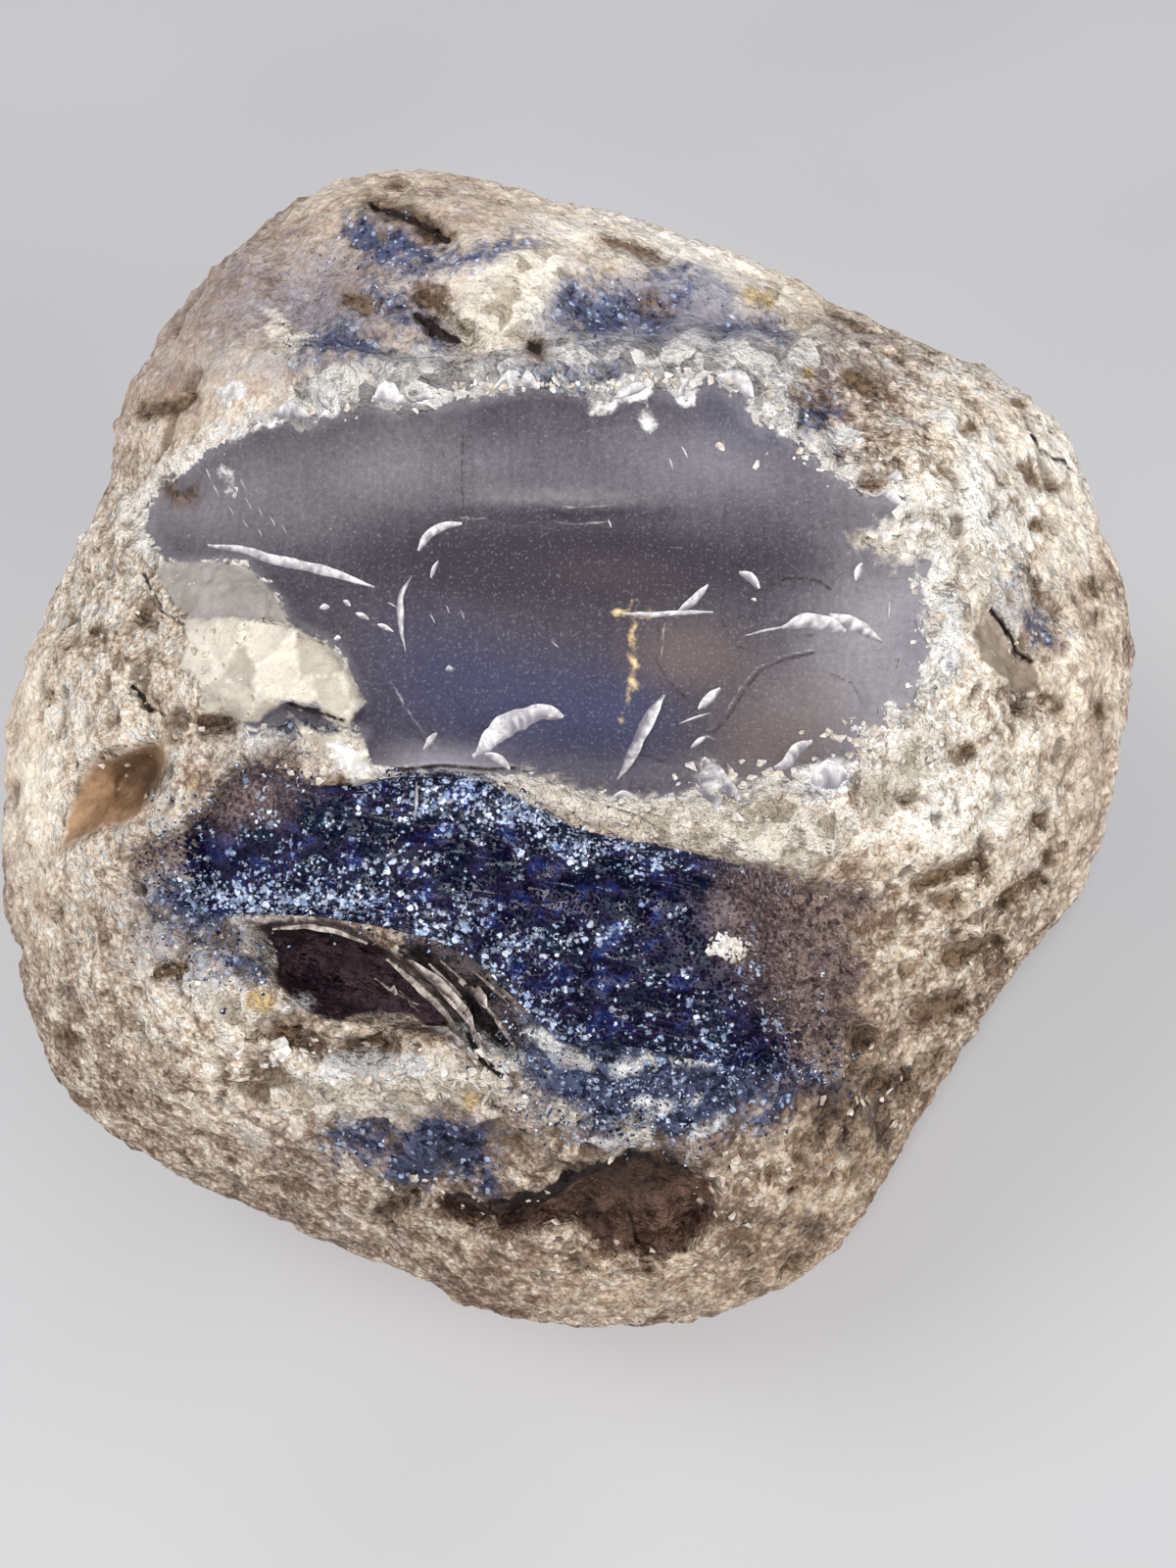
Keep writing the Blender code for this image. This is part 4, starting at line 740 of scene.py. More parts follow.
# ---- Shape functions, as in the solid ----
def ease(value, low, high):
    """0 below low, 1 above high, and a smooth rise between them."""
    part = np.clip((value - low) / (high - low), 0.0, 1.0)
    return part * part * (3.0 - 2.0 * part)


def closed_curve(points, steps=5):
    """A smooth closed line through the points, with steps pieces from each to the next."""
    points = np.array(points, float)
    before, after = np.roll(points, 1, axis=0), np.roll(points, -1, axis=0)
    beyond = np.roll(points, -2, axis=0)
    line = []
    for part in np.arange(steps) / steps:
        line.append(0.5 * (2.0 * points + (after - before) * part
                           + (2.0 * before - 5.0 * points + 4.0 * after - beyond) * part ** 2
                           + (3.0 * points - before - 3.0 * after + beyond) * part ** 3))
    return np.stack(line, axis=1).reshape(-1, 2)


def distance_to_segment(across, up, start, end):
    """Distance of each place to a straight piece of line."""
    run, rise = end[0] - start[0], end[1] - start[1]
    length = max(run * run + rise * rise, 1e-9)
    part = np.clip(((across - start[0]) * run + (up - start[1]) * rise) / length, 0.0, 1.0)
    return np.hypot(across - start[0] - part * run, up - start[1] - part * rise)


def near_line(across, up, line, reach):
    """Which places lie in the box round a line, widened by reach."""
    low, high = np.min(line, axis=0) - reach, np.max(line, axis=0) + reach
    return (across > low[0]) & (across < high[0]) & (up > low[1]) & (up < high[1])


def depth_inside(across, up, line, reach=FAR):
    """Distance to a closed line up to reach, positive inside it and negative outside."""
    depth = np.full(across.shape, -reach)
    near = near_line(across, up, line, reach)
    a, b = across[near], up[near]
    nearest = np.full(a.shape, reach)
    crossings = np.zeros(a.shape, int)
    for start, end in zip(line, np.roll(line, -1, axis=0)):
        nearest = np.minimum(nearest, distance_to_segment(a, b, start, end))
        spans = (start[1] > b) != (end[1] > b)
        rise = end[1] - start[1] if end[1] != start[1] else 1e-9
        crossings += spans & (a < start[0] + (b - start[1]) * (end[0] - start[0]) / rise)
    depth[near] = np.where(crossings % 2 == 1, nearest, -nearest)
    return depth


def area_depth(across, up, outline, reach=FAR):
    """Distance to the smooth line round an area, positive inside it."""
    return depth_inside(across, up, closed_curve(outline), reach)


def stroke_depth(across, up, half_width, points):
    """Distance to the edge of a thick line, positive inside it."""
    depth = np.full(across.shape, -FAR)
    near = near_line(across, up, points, FAR + half_width)
    a, b = across[near], up[near]
    nearest = np.full(a.shape, 1e9)
    for start, end in zip(points, points[1:]):
        nearest = np.minimum(nearest, distance_to_segment(a, b, start, end))
    depth[near] = np.maximum(half_width - nearest, -FAR)
    return depth


def mark_depth(across, up, name):
    """Distance to the edge of a mark, positive inside it."""
    depth = np.full(across.shape, -FAR)
    for half_width, points in MARKS[name]:
        if half_width:
            one = stroke_depth(across, up, half_width, points)
        else:
            one = depth_inside(across, up, np.array(points, float))
        depth = np.maximum(depth, one)
    return depth


def spots(across, up, table):
    """The sum of soft round spots: middle, half width, half height, strength."""
    total = np.zeros(across.shape)
    for (a, b), half_width, half_height, strength in table:
        away = ((across - a) / half_width) ** 2 + ((up - b) / half_height) ** 2
        total += strength * np.exp(-away)
    return total


def polar_radius(angle, line, centre):
    """Radius of a closed line about a centre, in each direction."""
    offset = line - np.array(centre)
    angles = np.arctan2(offset[:, 1], offset[:, 0])
    order = np.argsort(angles)
    return np.interp(angle, angles[order], np.hypot(*offset[order].T), period=2.0 * math.pi)


def scatter(column, row, salt):
    """A number from 0 to 1 for each cell of a grid, without order."""
    mixed = np.sin(column * 127.1 + row * 311.7 + salt * 74.7) * 43758.5453
    return mixed - np.floor(mixed)


def facet_cells(across, up, size):
    """Loose cells of a size: height and tone of a flat facet in each, distance to its edge."""
    column, row = np.floor(across / size), np.floor(up / size)
    nearest, second = np.full(across.shape, 1e9), np.full(across.shape, 1e9)
    height, tone = np.zeros(across.shape), np.zeros(across.shape)
    for step_across in (-1, 0, 1):
        for step_up in (-1, 0, 1):
            cell = (column + step_across, row + step_up)
            run = across / size - cell[0] - scatter(*cell, 1)
            rise = up / size - cell[1] - scatter(*cell, 2)
            away = np.hypot(run, rise)
            plane = (scatter(*cell, 3) - 0.5 + FACET_TILT * run * (scatter(*cell, 4) - 0.5)
                     + FACET_TILT * rise * (scatter(*cell, 5) - 0.5))
            closer = away < nearest
            height = np.where(closer, plane, height)
            tone = np.where(closer, scatter(*cell, 6), tone)
            second = np.where(closer, nearest, np.minimum(second, away))
            nearest = np.minimum(away, nearest)
    return 2.0 * height, tone, 0.5 * (second - nearest)


def facets(across, up, size):
    """Flat facets that tilt every way, one for each cell of a loose grid, from about -1 to 1."""
    return facet_cells(across, up, size)[0]


def relief(across, up):
    """Height of the face's own relief at places on the board, in mm."""
    height = np.zeros(across.shape)
    for outline, rise, sharp, soft, soft_side in AREAS:
        line = closed_curve(outline)
        turn = np.arctan2(up - line[:, 1].mean(), across - line[:, 0].mean())
        edge = sharp + (soft - sharp) * (0.5 + 0.5 * np.cos(turn - math.radians(soft_side)))
        limits = [share * edge for share in EDGE_SHARE]
        height += rise * ease(depth_inside(across, up, line, soft), *limits)
    for start, end, half_width, rise in STROKES:
        away = distance_to_segment(across, up, start, end) / half_width
        height += rise * (1.0 - np.clip(away, 0.0, 1.0) ** 2) ** 2
    for outline, size, rough in FACETED:
        inside = ease(area_depth(across, up, outline), *FACETED_FADE)
        height += inside * rough * facets(across, up, size)
    crest = np.array(CREST, float)
    first, last = crest[0, 0], crest[-1, 0]
    ends = ease(across, first, first + CREST_END) * ease(-across, -last, CREST_END - last)
    above = up - np.interp(across, crest[:, 0], crest[:, 1])
    height -= RIDGE_DROP * ends * ease(above, 0.0, RIDGE_STEP) * (1.0 - ease(above, *VALLEY_END))
    return height


def fine_relief(across, up):
    """Small broken edges and cracks that the solid leaves out, in mm."""
    height = np.zeros(across.shape)
    ragged = facets(across, up, RAGGED_CELL)
    for name, rise, width, stray in FINE_STEPS:
        height += rise * ease(mark_depth(across, up, name) + stray * ragged, -width, width)
    for name, fade, layers in BROKEN_MARKS:
        broken = ease(mark_depth(across, up, name), *fade)
        height += broken * sum(rise * facets(across, up, size) for rise, size in layers)
    inside = ease(mark_depth(across, up, "hollow"), *HOLLOW_FADE)
    slanted = [a * across + b * up for a, b in HOLLOW_SLANT]
    height += inside * HOLLOW_ROUGH * facets(*slanted, HOLLOW_FACET)
    return height


def to_world(across, up, height):
    """World places (metres) of points at a height above the board (all in mm)."""
    shrink = (APEX_DISTANCE - height) / APEX_DISTANCE
    across, up = across * shrink, up * shrink
    places = (across, up * SINE - height * COSINE, up * COSINE + height * SINE)
    return (np.stack(places, 1) + MIDDLE) * MM


def stone_radius(angle):
    """Distance from the outline's centre to the stone's outline, in each direction."""
    return polar_radius(angle, closed_curve(STONE_OUTLINE), OUTLINE_CENTRE)


def body_height(across, up):
    """Height of the plain body under the face, in mm."""
    offset = across - OUTLINE_CENTRE[0], up - OUTLINE_CENTRE[1]
    share = np.clip(np.hypot(*offset) / stone_radius(np.arctan2(offset[1], offset[0])), 0.0, 1.0)
    return FRONT_DEPTH * (1.0 - share ** FRONT_POWER) ** (1.0 / FRONT_POWER)


def board_places(directions):
    """Places on the board and heights of the plain body, in directions from its middle."""
    across, up, out = directions.T
    front = out > 0.0
    power = np.where(front, FRONT_POWER, BACK_POWER)
    angle = np.arctan2(up, across)
    radius = stone_radius(angle) * np.clip(np.hypot(across, up), 0.0, 1.0) ** (2.0 / power)
    across = OUTLINE_CENTRE[0] + radius * np.cos(angle)
    up = OUTLINE_CENTRE[1] + radius * np.sin(angle)
    height = np.sign(out) * np.abs(out) ** (2.0 / power)
    return across, up, height * np.where(front, FRONT_DEPTH, BACK_DEPTH)


def outward(directions):
    """The world direction that each point of the skin roughly faces."""
    across, up, out = directions.T
    return np.stack((across, up * SINE - out * COSINE, up * COSINE + out * SINE), 1)


def bump(directions, middle, radius):
    """1 in the middle of a round place on the skin, and 0 past its radius."""
    middle = np.array(middle) / np.linalg.norm(middle)
    away = np.linalg.norm(directions - middle, axis=1) * BODY_RADIUS / radius
    return (1.0 - np.clip(away, 0.0, 1.0) ** 2) ** 2


def pits(directions):
    """Round pits of many sizes, scattered over the skin, in mm."""
    random = np.random.default_rng(PIT_SEED)
    depth = np.zeros(len(directions))
    for middle in random.normal(size=(PIT_COUNT, 3)):
        radius = random.uniform(*PIT_RADIUS)
        depth = np.maximum(depth, PIT_DEPTH * radius * bump(directions, middle, radius))
    return -depth


def lumps(points, layers):
    """Swellings and hollows of the weathered skin, in mm, at places in metres."""
    total = np.zeros(len(points))
    for size, height in layers:
        places = points / (size * MM)
        total += height * np.array([noise.noise(place) for place in places.tolist()])
    return total


def crumbs(points):
    """Rounded grains of the weathered skin, in mm, at places in metres."""
    places = (points / (CRUMB_CELL * MM)).tolist()
    away = np.array([noise.voronoi(place)[0][0] for place in places])
    return CRUMB_HEIGHT * (CRUMB_LEVEL - away)


def pores(points):
    """Ragged pores of the weathered skin, in mm, at places in metres."""
    wide, narrow = PORE_SIZES
    return -PORE_DEPTH * ease(lumps(points, ((wide, 1.0), (narrow, 0.5))), *PORE_EDGE)


def crust_shows(across):
    """1 where the crust lies open, and 0 at its two ends, which the stone's own skin covers."""
    return ease(across, *CRUST_LEFT) * (1.0 - ease(across, *CRUST_RIGHT))


def stone_places(directions, bed=1.0):
    """World places of the stone's skin, and how far each lies below the smooth skin, in mm.

    The skin makes room for the crust where bed is 1, and not where it is 0.
    """
    across, up, height = board_places(directions)
    face = ease(directions[:, 2], *FACE_FADE)
    crust_bed = ease(area_depth(across, up, CRUST_BED), *BED_FADE) * crust_shows(across)
    own = relief(across, up) + fine_relief(across, up)
    height = height + face * (own - bed * crust_bed * (CRUST_THICKNESS + CRUST_GAP))
    places = to_world(across, up, height)
    bare = np.maximum.reduce([
        ease(area_depth(across, up, outline), *BARE_FADE)
        for outline in (WINDOW, TROUGH, CHIP, SIDE_HOLE)
    ])
    skin = 1.0 - face * bare
    fine = lumps(places, GRAIN) + crumbs(places) + pores(places)
    fine *= 1.0 - face * spots(across, up, WASHES["worn"])
    pitted = pits(directions)
    smooth = 1.0 - face * ease(mark_depth(across, up, "window"), *SMOOTH_FADE)
    swell = skin * (lumps(places, LUMPS) + pitted)
    swell += np.minimum(smooth, BARE_GRAIN + (1.0 - BARE_GRAIN) * skin) * fine
    for direction, radius, rise in BACK_SWELLS:
        swell += rise * bump(directions, direction, radius)
    return places + outward(directions) * (swell * MM)[:, None], fine + skin * pitted


# ---- Pieces ----
def add_piece(name, mesh, look, smooth):
    """An object in the scene that shows a mesh with one material."""
    mesh.polygons.foreach_set("use_smooth", [smooth] * len(mesh.polygons))
    mesh.materials.append(look)
    piece = bpy.data.objects.new(name, mesh)
    bpy.context.scene.collection.objects.link(piece)
    return piece


def new_piece(name, vertices, faces, look):
    """An object with flat faces and one material."""
    mesh = bpy.data.meshes.new(name)
    mesh.from_pydata(vertices, [], faces)
    return add_piece(name, mesh, look, False)


def keep_values(mesh, name, values):
    """Keep one number for each point of a mesh, for its material to read."""
    made = mesh.attributes.new(name, "FLOAT", "POINT")
    made.data.foreach_set("value", np.asarray(values, np.float32))


# ---- Materials ----
def colour(red, green, blue):
    """A linear colour from the values 0 to 255 that a screen shows."""
    shares = [value / 255.0 for value in (red, green, blue)]
    linear = [s / 12.92 if s < 0.04045 else ((s + 0.055) / 1.055) ** 2.4 for s in shares]
    return (*linear, 1.0)


class Look:
    """A material with short calls for the nodes that it needs."""

    def __init__(self, name, stretch=0.0):
        """Stretch draws the patterns out along the face's axis, as a share of their length."""
        self.material = bpy.data.materials.new(name)
        self.material.use_nodes = True
        self.tree = self.material.node_tree
        self.shader = self.tree.nodes["Principled BSDF"]
        place = self.node("ShaderNodeTexCoord").outputs["Object"]
        self.place = self.vector("SCALE", place, scale=1.0 / MM)
        if stretch:
            depth = self.vector("DOT_PRODUCT", self.place, tuple(stretch * FACE_AXIS))
            drawn = self.vector("SCALE", tuple(FACE_AXIS), scale=depth)
            self.place = self.vector("SUBTRACT", self.place, drawn)
        clouds = self.node("ShaderNodeTexNoise", Vector=self.place, Scale=STRAY_SCALE, Detail=1.0)
        self.strayed = self.vector(
            "MULTIPLY_ADD", clouds.outputs["Color"], (STRAY, STRAY, STRAY), self.place)

    def put(self, socket, value):
        """Link a socket to a value, or set it to a number."""
        if isinstance(value, bpy.types.NodeSocket):
            self.tree.links.new(value, socket)
        else:
            socket.default_value = value

    def node(self, kind, **inputs):
        """A new node with its named inputs."""
        made = self.tree.nodes.new(kind)
        for name, value in inputs.items():
            self.put(made.inputs[name], value)
        return made

    def math(self, operation, *values):
        """The result of an operation on numbers."""
        made = self.node("ShaderNodeMath")
        made.operation = operation
        for socket, value in zip(made.inputs, values):
            self.put(socket, value)
        return made.outputs[0]

    def vector(self, operation, *values, scale=None):
        """The result of an operation on vectors; scale is the factor of SCALE."""
        made = self.node("ShaderNodeVectorMath")
        made.operation = operation
        for socket, value in zip(made.inputs, values):
            self.put(socket, value)
        if scale is not None:
            self.put(made.inputs["Scale"], scale)
        return made.outputs["Value" if operation == "DOT_PRODUCT" else "Vector"]

    def value(self, name):
        """A number kept in the mesh."""
        made = self.node("ShaderNodeAttribute")
        made.attribute_name = name
        return made.outputs["Fac"]

    def noise(self, size, detail=3.0, rough=0.6, place=None):
        """Cloudy noise round 0.5, with patches of a size in mm."""
        made = self.node("ShaderNodeTexNoise", Scale=1.0 / size, Detail=detail, Roughness=rough)
        self.put(made.inputs["Vector"], place or self.place)
        return made.outputs["Fac"]

    def cells(self, size):
        """Loose cells about a size in mm, and three numbers for each."""
        made = self.node("ShaderNodeTexVoronoi", Vector=self.strayed, Scale=1.0 / size)
        return made, self.node("ShaderNodeSeparateColor", Color=made.outputs["Color"]).outputs

    def chips(self, size):
        """Flat facets about a size in mm, tilted every way: their height in mm and their tone."""
        cell, tones = self.cells(size)
        offset = self.vector("SUBTRACT", self.strayed, cell.outputs["Position"])
        tilt = self.vector("SUBTRACT", cell.outputs["Color"], (0.5, 0.5, 0.5))
        return self.vector("DOT_PRODUCT", offset, tilt), tones[0]

    def sum(self, *parts):
        """The sum of values, each times its weight."""
        total = 0.0
        for value, weight in parts:
            if total == 0.0 and weight == 1.0:
                total = value
            else:
                total = self.math("MULTIPLY_ADD", value, weight, total)
        return total

    def ramp(self, value, stops):
        """A colour that runs through the stops."""
        made = self.node("ShaderNodeValToRGB", Fac=value)
        elements = made.color_ramp.elements
        for number, (place, shown) in enumerate(stops):
            element = elements[number] if number < 2 else elements.new(place)
            element.position = place
            element.color = colour(*shown)
        return made.outputs["Color"]

    def range(self, value, low, high, start=0.0, end=1.0):
        """A smooth step from start to end while value goes from low to high."""
        made = self.node("ShaderNodeMapRange")
        made.interpolation_type = "SMOOTHSTEP"
        for name, number in (("Value", value), ("From Min", low), ("From Max", high),
                             ("To Min", start), ("To Max", end)):
            self.put(made.inputs[name], number)
        return made.outputs["Result"]

    def mix(self, share, low, high):
        """A colour between two."""
        made = self.node("ShaderNodeMix")
        made.data_type = "RGBA"
        for index, value in ((0, share), (6, low), (7, high)):
            self.put(made.inputs[index], value)
        return made.outputs[2]

    def blend(self, share, low, high):
        """A number between two."""
        made = self.node("ShaderNodeMix")
        for index, value in ((0, share), (2, low), (3, high)):
            self.put(made.inputs[index], value)
        return made.outputs[0]

    def tones(self, value, limits, dark, light):
        """A colour that goes from dark to light while value goes from one limit to the other."""
        return self.mix(self.range(value, *limits), colour(*dark), colour(*light))

    def stain_and_shade(self, shown, value, limits, tone):
        """A colour over another, as much of it as the value gives between its limits: stains and
        painted shade alike.
        """
        return self.mix(self.range(value, *limits), shown, colour(*tone))

    def bump(self, height, distance):
        """Rough the surface by a height, over a distance in mm."""
        made = self.node("ShaderNodeBump", Strength=1.0, Distance=distance * MM, Height=height)
        self.put(self.shader.inputs["Normal"], made.outputs["Normal"])

    def finished(self, shown, rough, shine):
        """The material, with its colour, roughness and specular level."""
        values = {"Base Color": shown, "Roughness": rough, "Specular IOR Level": shine}
        for name, value in values.items():
            self.put(self.shader.inputs[name], value)
        return self.material


class StoneLook(Look):
    """The stone's material, with the patterns and washes that its colours share."""

    def __init__(self):
        super().__init__("agate_stone", STRETCH)
        self.speck, self.patch, self.cloud, self.stir = (
            self.noise(*shape) for shape in (SPECK, PATCH, CLOUD, STIR))
        self.mottle = self.noise(*MOTTLE, self.strayed)
        self.washes = {name: self.value(name + "_wash") for name in WASHES}
        self.big, self.big_tone = self.chips(BIG_CHIP)
        self.small, self.small_tone = self.chips(SMALL_CHIP)
        grain, tones = self.cells(GRAIN_CELL)
        self.gap, self.grain_tone = grain.outputs["Distance"], tones[0]
        self.window = self.value("window")


def skin_colour(look):
    """Weathered skin: pale chips and grains with brown pits, under four stains; the pits'
    darkening and the paleness also hold painted shade and a painted highlight.
    """
    worn, patch, stir = look.washes["worn"], look.patch, look.stir
    chip_tone = look.sum((look.big_tone, 0.36), (look.small_tone, 0.30), (1.0, -0.33))
    grainy = look.sum((look.speck, 1.0), (chip_tone, 0.9), (look.gap, -0.55),
                      (look.grain_tone, 0.25), (1.0, -0.40))
    grainy = look.math("MULTIPLY", grainy, look.range(worn, *WORN_GRAIN))
    blotch = look.sum((stir, 0.75), (patch, 1.1), (1.0, -0.92))
    blotch = look.math("MULTIPLY", blotch, look.range(worn, *WORN_BLOTCH))
    # the paleness wash brings a painted highlight along the crest and painted shade at the top
    # left and the bottom
    tone = look.sum((grainy, 0.75), (blotch, 1.0), (look.cloud, 0.6),
                    (look.washes["pale_and_painted_light"], 0.35), (1.0, 1.18))
    cool = look.sum((patch, 0.5), (stir, 0.5), (look.washes["cool"], 0.6))
    warm = look.sum((patch, 0.5), (look.mottle, 0.5), (look.washes["warm"], 0.6))
    rim = look.sum((look.window, 0.8), (stir, 3.6), (look.speck, 1.6))
    shown = look.ramp(look.range(tone, *SKIN_RANGE), SKIN_RAMP)
    # the pits' brown darkens with their depth, partly painted shade
    for value, stain_and_shade in ((cool, COOL_STAIN), (warm, WARM_STAIN), (look.value("sunk"), PIT_BROWN_AND_SHADE),
                         (rim, RIM_STAIN)):
        shown = look.stain_and_shade(shown, value, *stain_and_shade)
    return shown


def window_colour(look):
    """Bare chalcedony: grey-violet with a dark band and painted reflections, indigo and brown
    stains and fine dust.
    """
    streak = look.noise(*STREAK, look.vector("MULTIPLY", look.place, STREAK_SHAPE))
    # the haze wash holds painted reflections as well as the window's own haze and bands
    inner = look.sum((look.noise(*CALM), 0.16), (streak, 0.12), (look.speck, 0.22),
                     (look.washes["haze_and_painted_reflection"], 1.0))
    shown = look.tones(inner, *WINDOW_TONES)
    shown = look.stain_and_shade(shown, look.washes["cool"], *WINDOW_COOL)
    shown = look.stain_and_shade(shown, look.washes["warm"], *WINDOW_WARM)
    dust = look.range(look.noise(DUST_SIZE, 1.0), *DUST_CHOICE)
    shown = look.mix(look.math("MULTIPLY", dust, DUST_SHARE), shown, colour(*DUST))
    return look.stain_and_shade(shown, look.window, *WINDOW_RIM)


def glinting(look, shown):
    """Blue druse with painted glints: single pale grains."""
    chosen = look.sum((look.grain_tone, 1.0), (look.stir, 0.9), (1.0, -0.4))
    grain = look.math("MULTIPLY", look.range(look.gap, *GLINT_FADE),
                      look.range(chosen, *GLINT_CHOICE))
    return look.mix(grain, shown, colour(*GLINT))


def inner_patterns(look):
    """What runs between the dark and the light colour inside a mark, for each kind of pattern."""
    parts = {
        "speckled": ((look.mottle, 0.45), (look.speck, 0.4), (look.small_tone, 0.24),
                     (look.washes["pale_and_painted_light"], 0.1)),
        "flat": ((look.patch, 0.6), (look.stir, 0.3), (look.speck, 0.15)),
        "chipped": ((look.stir, 0.35), (look.speck, 0.2), (look.mottle, 0.2),
                    (look.big_tone, 0.34)),
    }
    inner = {kind: look.range(look.sum(*part), *INNER_RANGE) for kind, part in parts.items()}
    faceted = look.sum((look.value("facet_tone"), 0.8), (look.mottle, 0.4))
    return inner | {"faceted": look.range(faceted, *FACETED_RANGE)}


def painted(look, shown, rough, inner, layers):
    """Marks over a colour and its roughness."""
    for name, kind, dark, light, soft, stray, layer_rough in layers:
        edge = look.sum((look.value(name), 1.0), (look.stir, 2.0 * stray))
        share = look.range(edge, stray - soft, stray + soft)
        layer = look.mix(inner[kind], colour(*dark), colour(*light))
        if name == "blue":
            layer = glinting(look, layer)
        if name == "facet":
            rim = look.sum((look.value("facet_edge"), 1.0), (look.mottle, 0.24))
            layer = look.stain_and_shade(layer, rim, *FACET_RIM)
        shown = look.mix(share, shown, layer)
        rough = look.blend(share, rough, layer_rough)
    return shown, rough


def stone_look():
    """The stone: weathered skin, the window and the marks over them, painted shade, and their
    roughness.
    """
    look = StoneLook()
    inner = inner_patterns(look)
    shown, rough = skin_colour(look), look.range(look.speck, *SKIN_ROUGH)
    shown, rough = painted(look, shown, rough, inner, UNDER_WINDOW)
    bare = look.sum((look.window, 1.0), (look.stir, 0.8), (look.big_tone, 0.9),
                    (look.small_tone, 0.5))
    bare = look.range(bare, *WINDOW_START)
    shown = look.mix(bare, shown, window_colour(look))
    rough = look.blend(bare, rough, WINDOW_ROUGH)
    shown, rough = painted(look, shown, rough, inner, OVER_WINDOW)
    # painted shade, laid over everything where the shade wash is high
    shown = look.stain_and_shade(shown, look.washes["shade"], *PAINTED_SHADE)
    rugged = look.sum((look.speck, 1.1), (look.stir, 0.9), (look.big, 1.6), (look.small, 2.2),
                      (1.0, -1.0))
    flat = look.math("MAXIMUM", look.range(look.washes["worn"], *WORN_FLAT),
                     look.math("MULTIPLY", bare, WINDOW_FLAT))
    for name, most in FLAT_MARKS:
        flat = look.math("MAXIMUM", flat, look.range(look.value(name), *FLAT_FADE, 0.0, most))
    look.bump(look.math("MULTIPLY", rugged, look.blend(flat, 1.0, 0.0)), STONE_BUMP)
    return look.finished(shown, rough, STONE_SHINE)


def floor_look():
    """A plain pale sweep with faint clouds."""
    look = Look("floor")
    shown = look.tones(look.noise(*FLOOR_CLOUD), *FLOOR_TONES)
    return look.finished(shown, FLOOR_ROUGH, FLOOR_SHINE)


# ---- The stone ----
def wanted_edge(directions):
    """The longest edge that the stone's mesh may have near each direction, in mm."""
    across, up, _ = board_places(directions)
    wanted = np.full(len(directions), RIND_EDGE)
    wanted[mark_depth(across, up, "window") > CRISP_REACH] = SMOOTH_EDGE
    for name in CRISP_MARKS:
        wanted[np.abs(mark_depth(across, up, name)) < CRISP_REACH] = CRISP_EDGE
    wanted[mark_depth(across, up, "cream") > 0] = CRISP_EDGE
    for name in ("dark_line_and_shade", "crack"):
        wanted[mark_depth(across, up, name) > -LINE_REACH] = LINE_EDGE
    wanted[area_depth(across, up, CRUST_BED) > COVERED_FROM] = COVERED_EDGE
    back = -directions[:, 2]
    grown = RIND_EDGE + (BACK_EDGE - RIND_EDGE) * ease(back, *BACK_FADE)
    return np.where(back > BACK_FADE[0], grown, wanted)


def refined_sphere():
    """A sphere of triangles that are small wherever the stone has fine detail."""
    shape = bmesh.new()
    bmesh.ops.create_icosphere(shape, subdivisions=SPHERE_STEPS, radius=1.0)
    for _ in range(REFINEMENTS):
        for vertex in shape.verts:
            vertex.co.normalize()
        shape.verts.index_update()
        directions = np.array([vertex.co for vertex in shape.verts])
        across, up, height = board_places(directions)
        places = to_world(across, up, height) / MM
        wanted = wanted_edge(directions)
        ends = np.array([[vertex.index for vertex in edge.verts] for edge in shape.edges])
        length = np.linalg.norm(places[ends[:, 0]] - places[ends[:, 1]], axis=1)
        limit = np.minimum(wanted[ends[:, 0]], wanted[ends[:, 1]])
        long_edges = [edge for edge, cut in zip(shape.edges, length > limit) if cut]
        bmesh.ops.subdivide_edges(shape, edges=long_edges, cuts=1)
        bmesh.ops.triangulate(shape, faces=[face for face in shape.faces if len(face.verts) > 3])
    for vertex in shape.verts:
        vertex.co.normalize()
    return shape


def make_stone():
    """The visible stone, with the distances and washes that its material reads."""
    shape = refined_sphere()
    mesh = bpy.data.meshes.new("nodule_skin")
    shape.to_mesh(mesh)
    shape.free()
    directions = np.empty(len(mesh.vertices) * 3)
    mesh.vertices.foreach_get("co", directions)
    directions = directions.reshape(-1, 3)
    places, sunk = stone_places(directions)
    mesh.vertices.foreach_set("co", np.clip(places, *CAD_BOX).ravel())
    across, up, _ = board_places(directions)
    front = directions[:, 2] > FACE_FADE[0]
    near = ease(directions[:, 2], *WASH_FADE)
    for name in MARKS:
        keep_values(mesh, name, np.where(front, mark_depth(across, up, name), -FAR))
    for name, table in WASHES.items():
        plain = BACK_PALE if name == "pale_and_painted_light" else 0.0
        keep_values(mesh, name + "_wash", plain + near * (spots(across, up, table) - plain))
    keep_values(mesh, "sunk", sunk)
    _, tone, edge = facet_cells(across, up, FACET_SIZE)
    keep_values(mesh, "facet_tone", tone)
    keep_values(mesh, "facet_edge", edge)
    mesh.update()
    stone = add_piece("nodule_skin", mesh, stone_look(), True)
    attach(stone, "root")
    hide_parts("nodule")


# ---- Druse: a crust with small crystals ----
def front_directions(across, up):
    """Directions of the places on the face that belong to places on the board."""
    offset = across - OUTLINE_CENTRE[0], up - OUTLINE_CENTRE[1]
    angle = np.arctan2(offset[1], offset[0])
    share = np.clip(np.hypot(*offset) / stone_radius(angle), 0.0, EDGE_LIMIT)
    flat = share ** (FRONT_POWER / 2.0)
    return np.stack((flat * np.cos(angle), flat * np.sin(angle), np.sqrt(1.0 - flat * flat)), 1)


def surface(across, up, bed=0.0):
    """World places (metres) of the dressed stone, with no room for the crust."""
    return stone_places(front_directions(across, up), bed)[0]


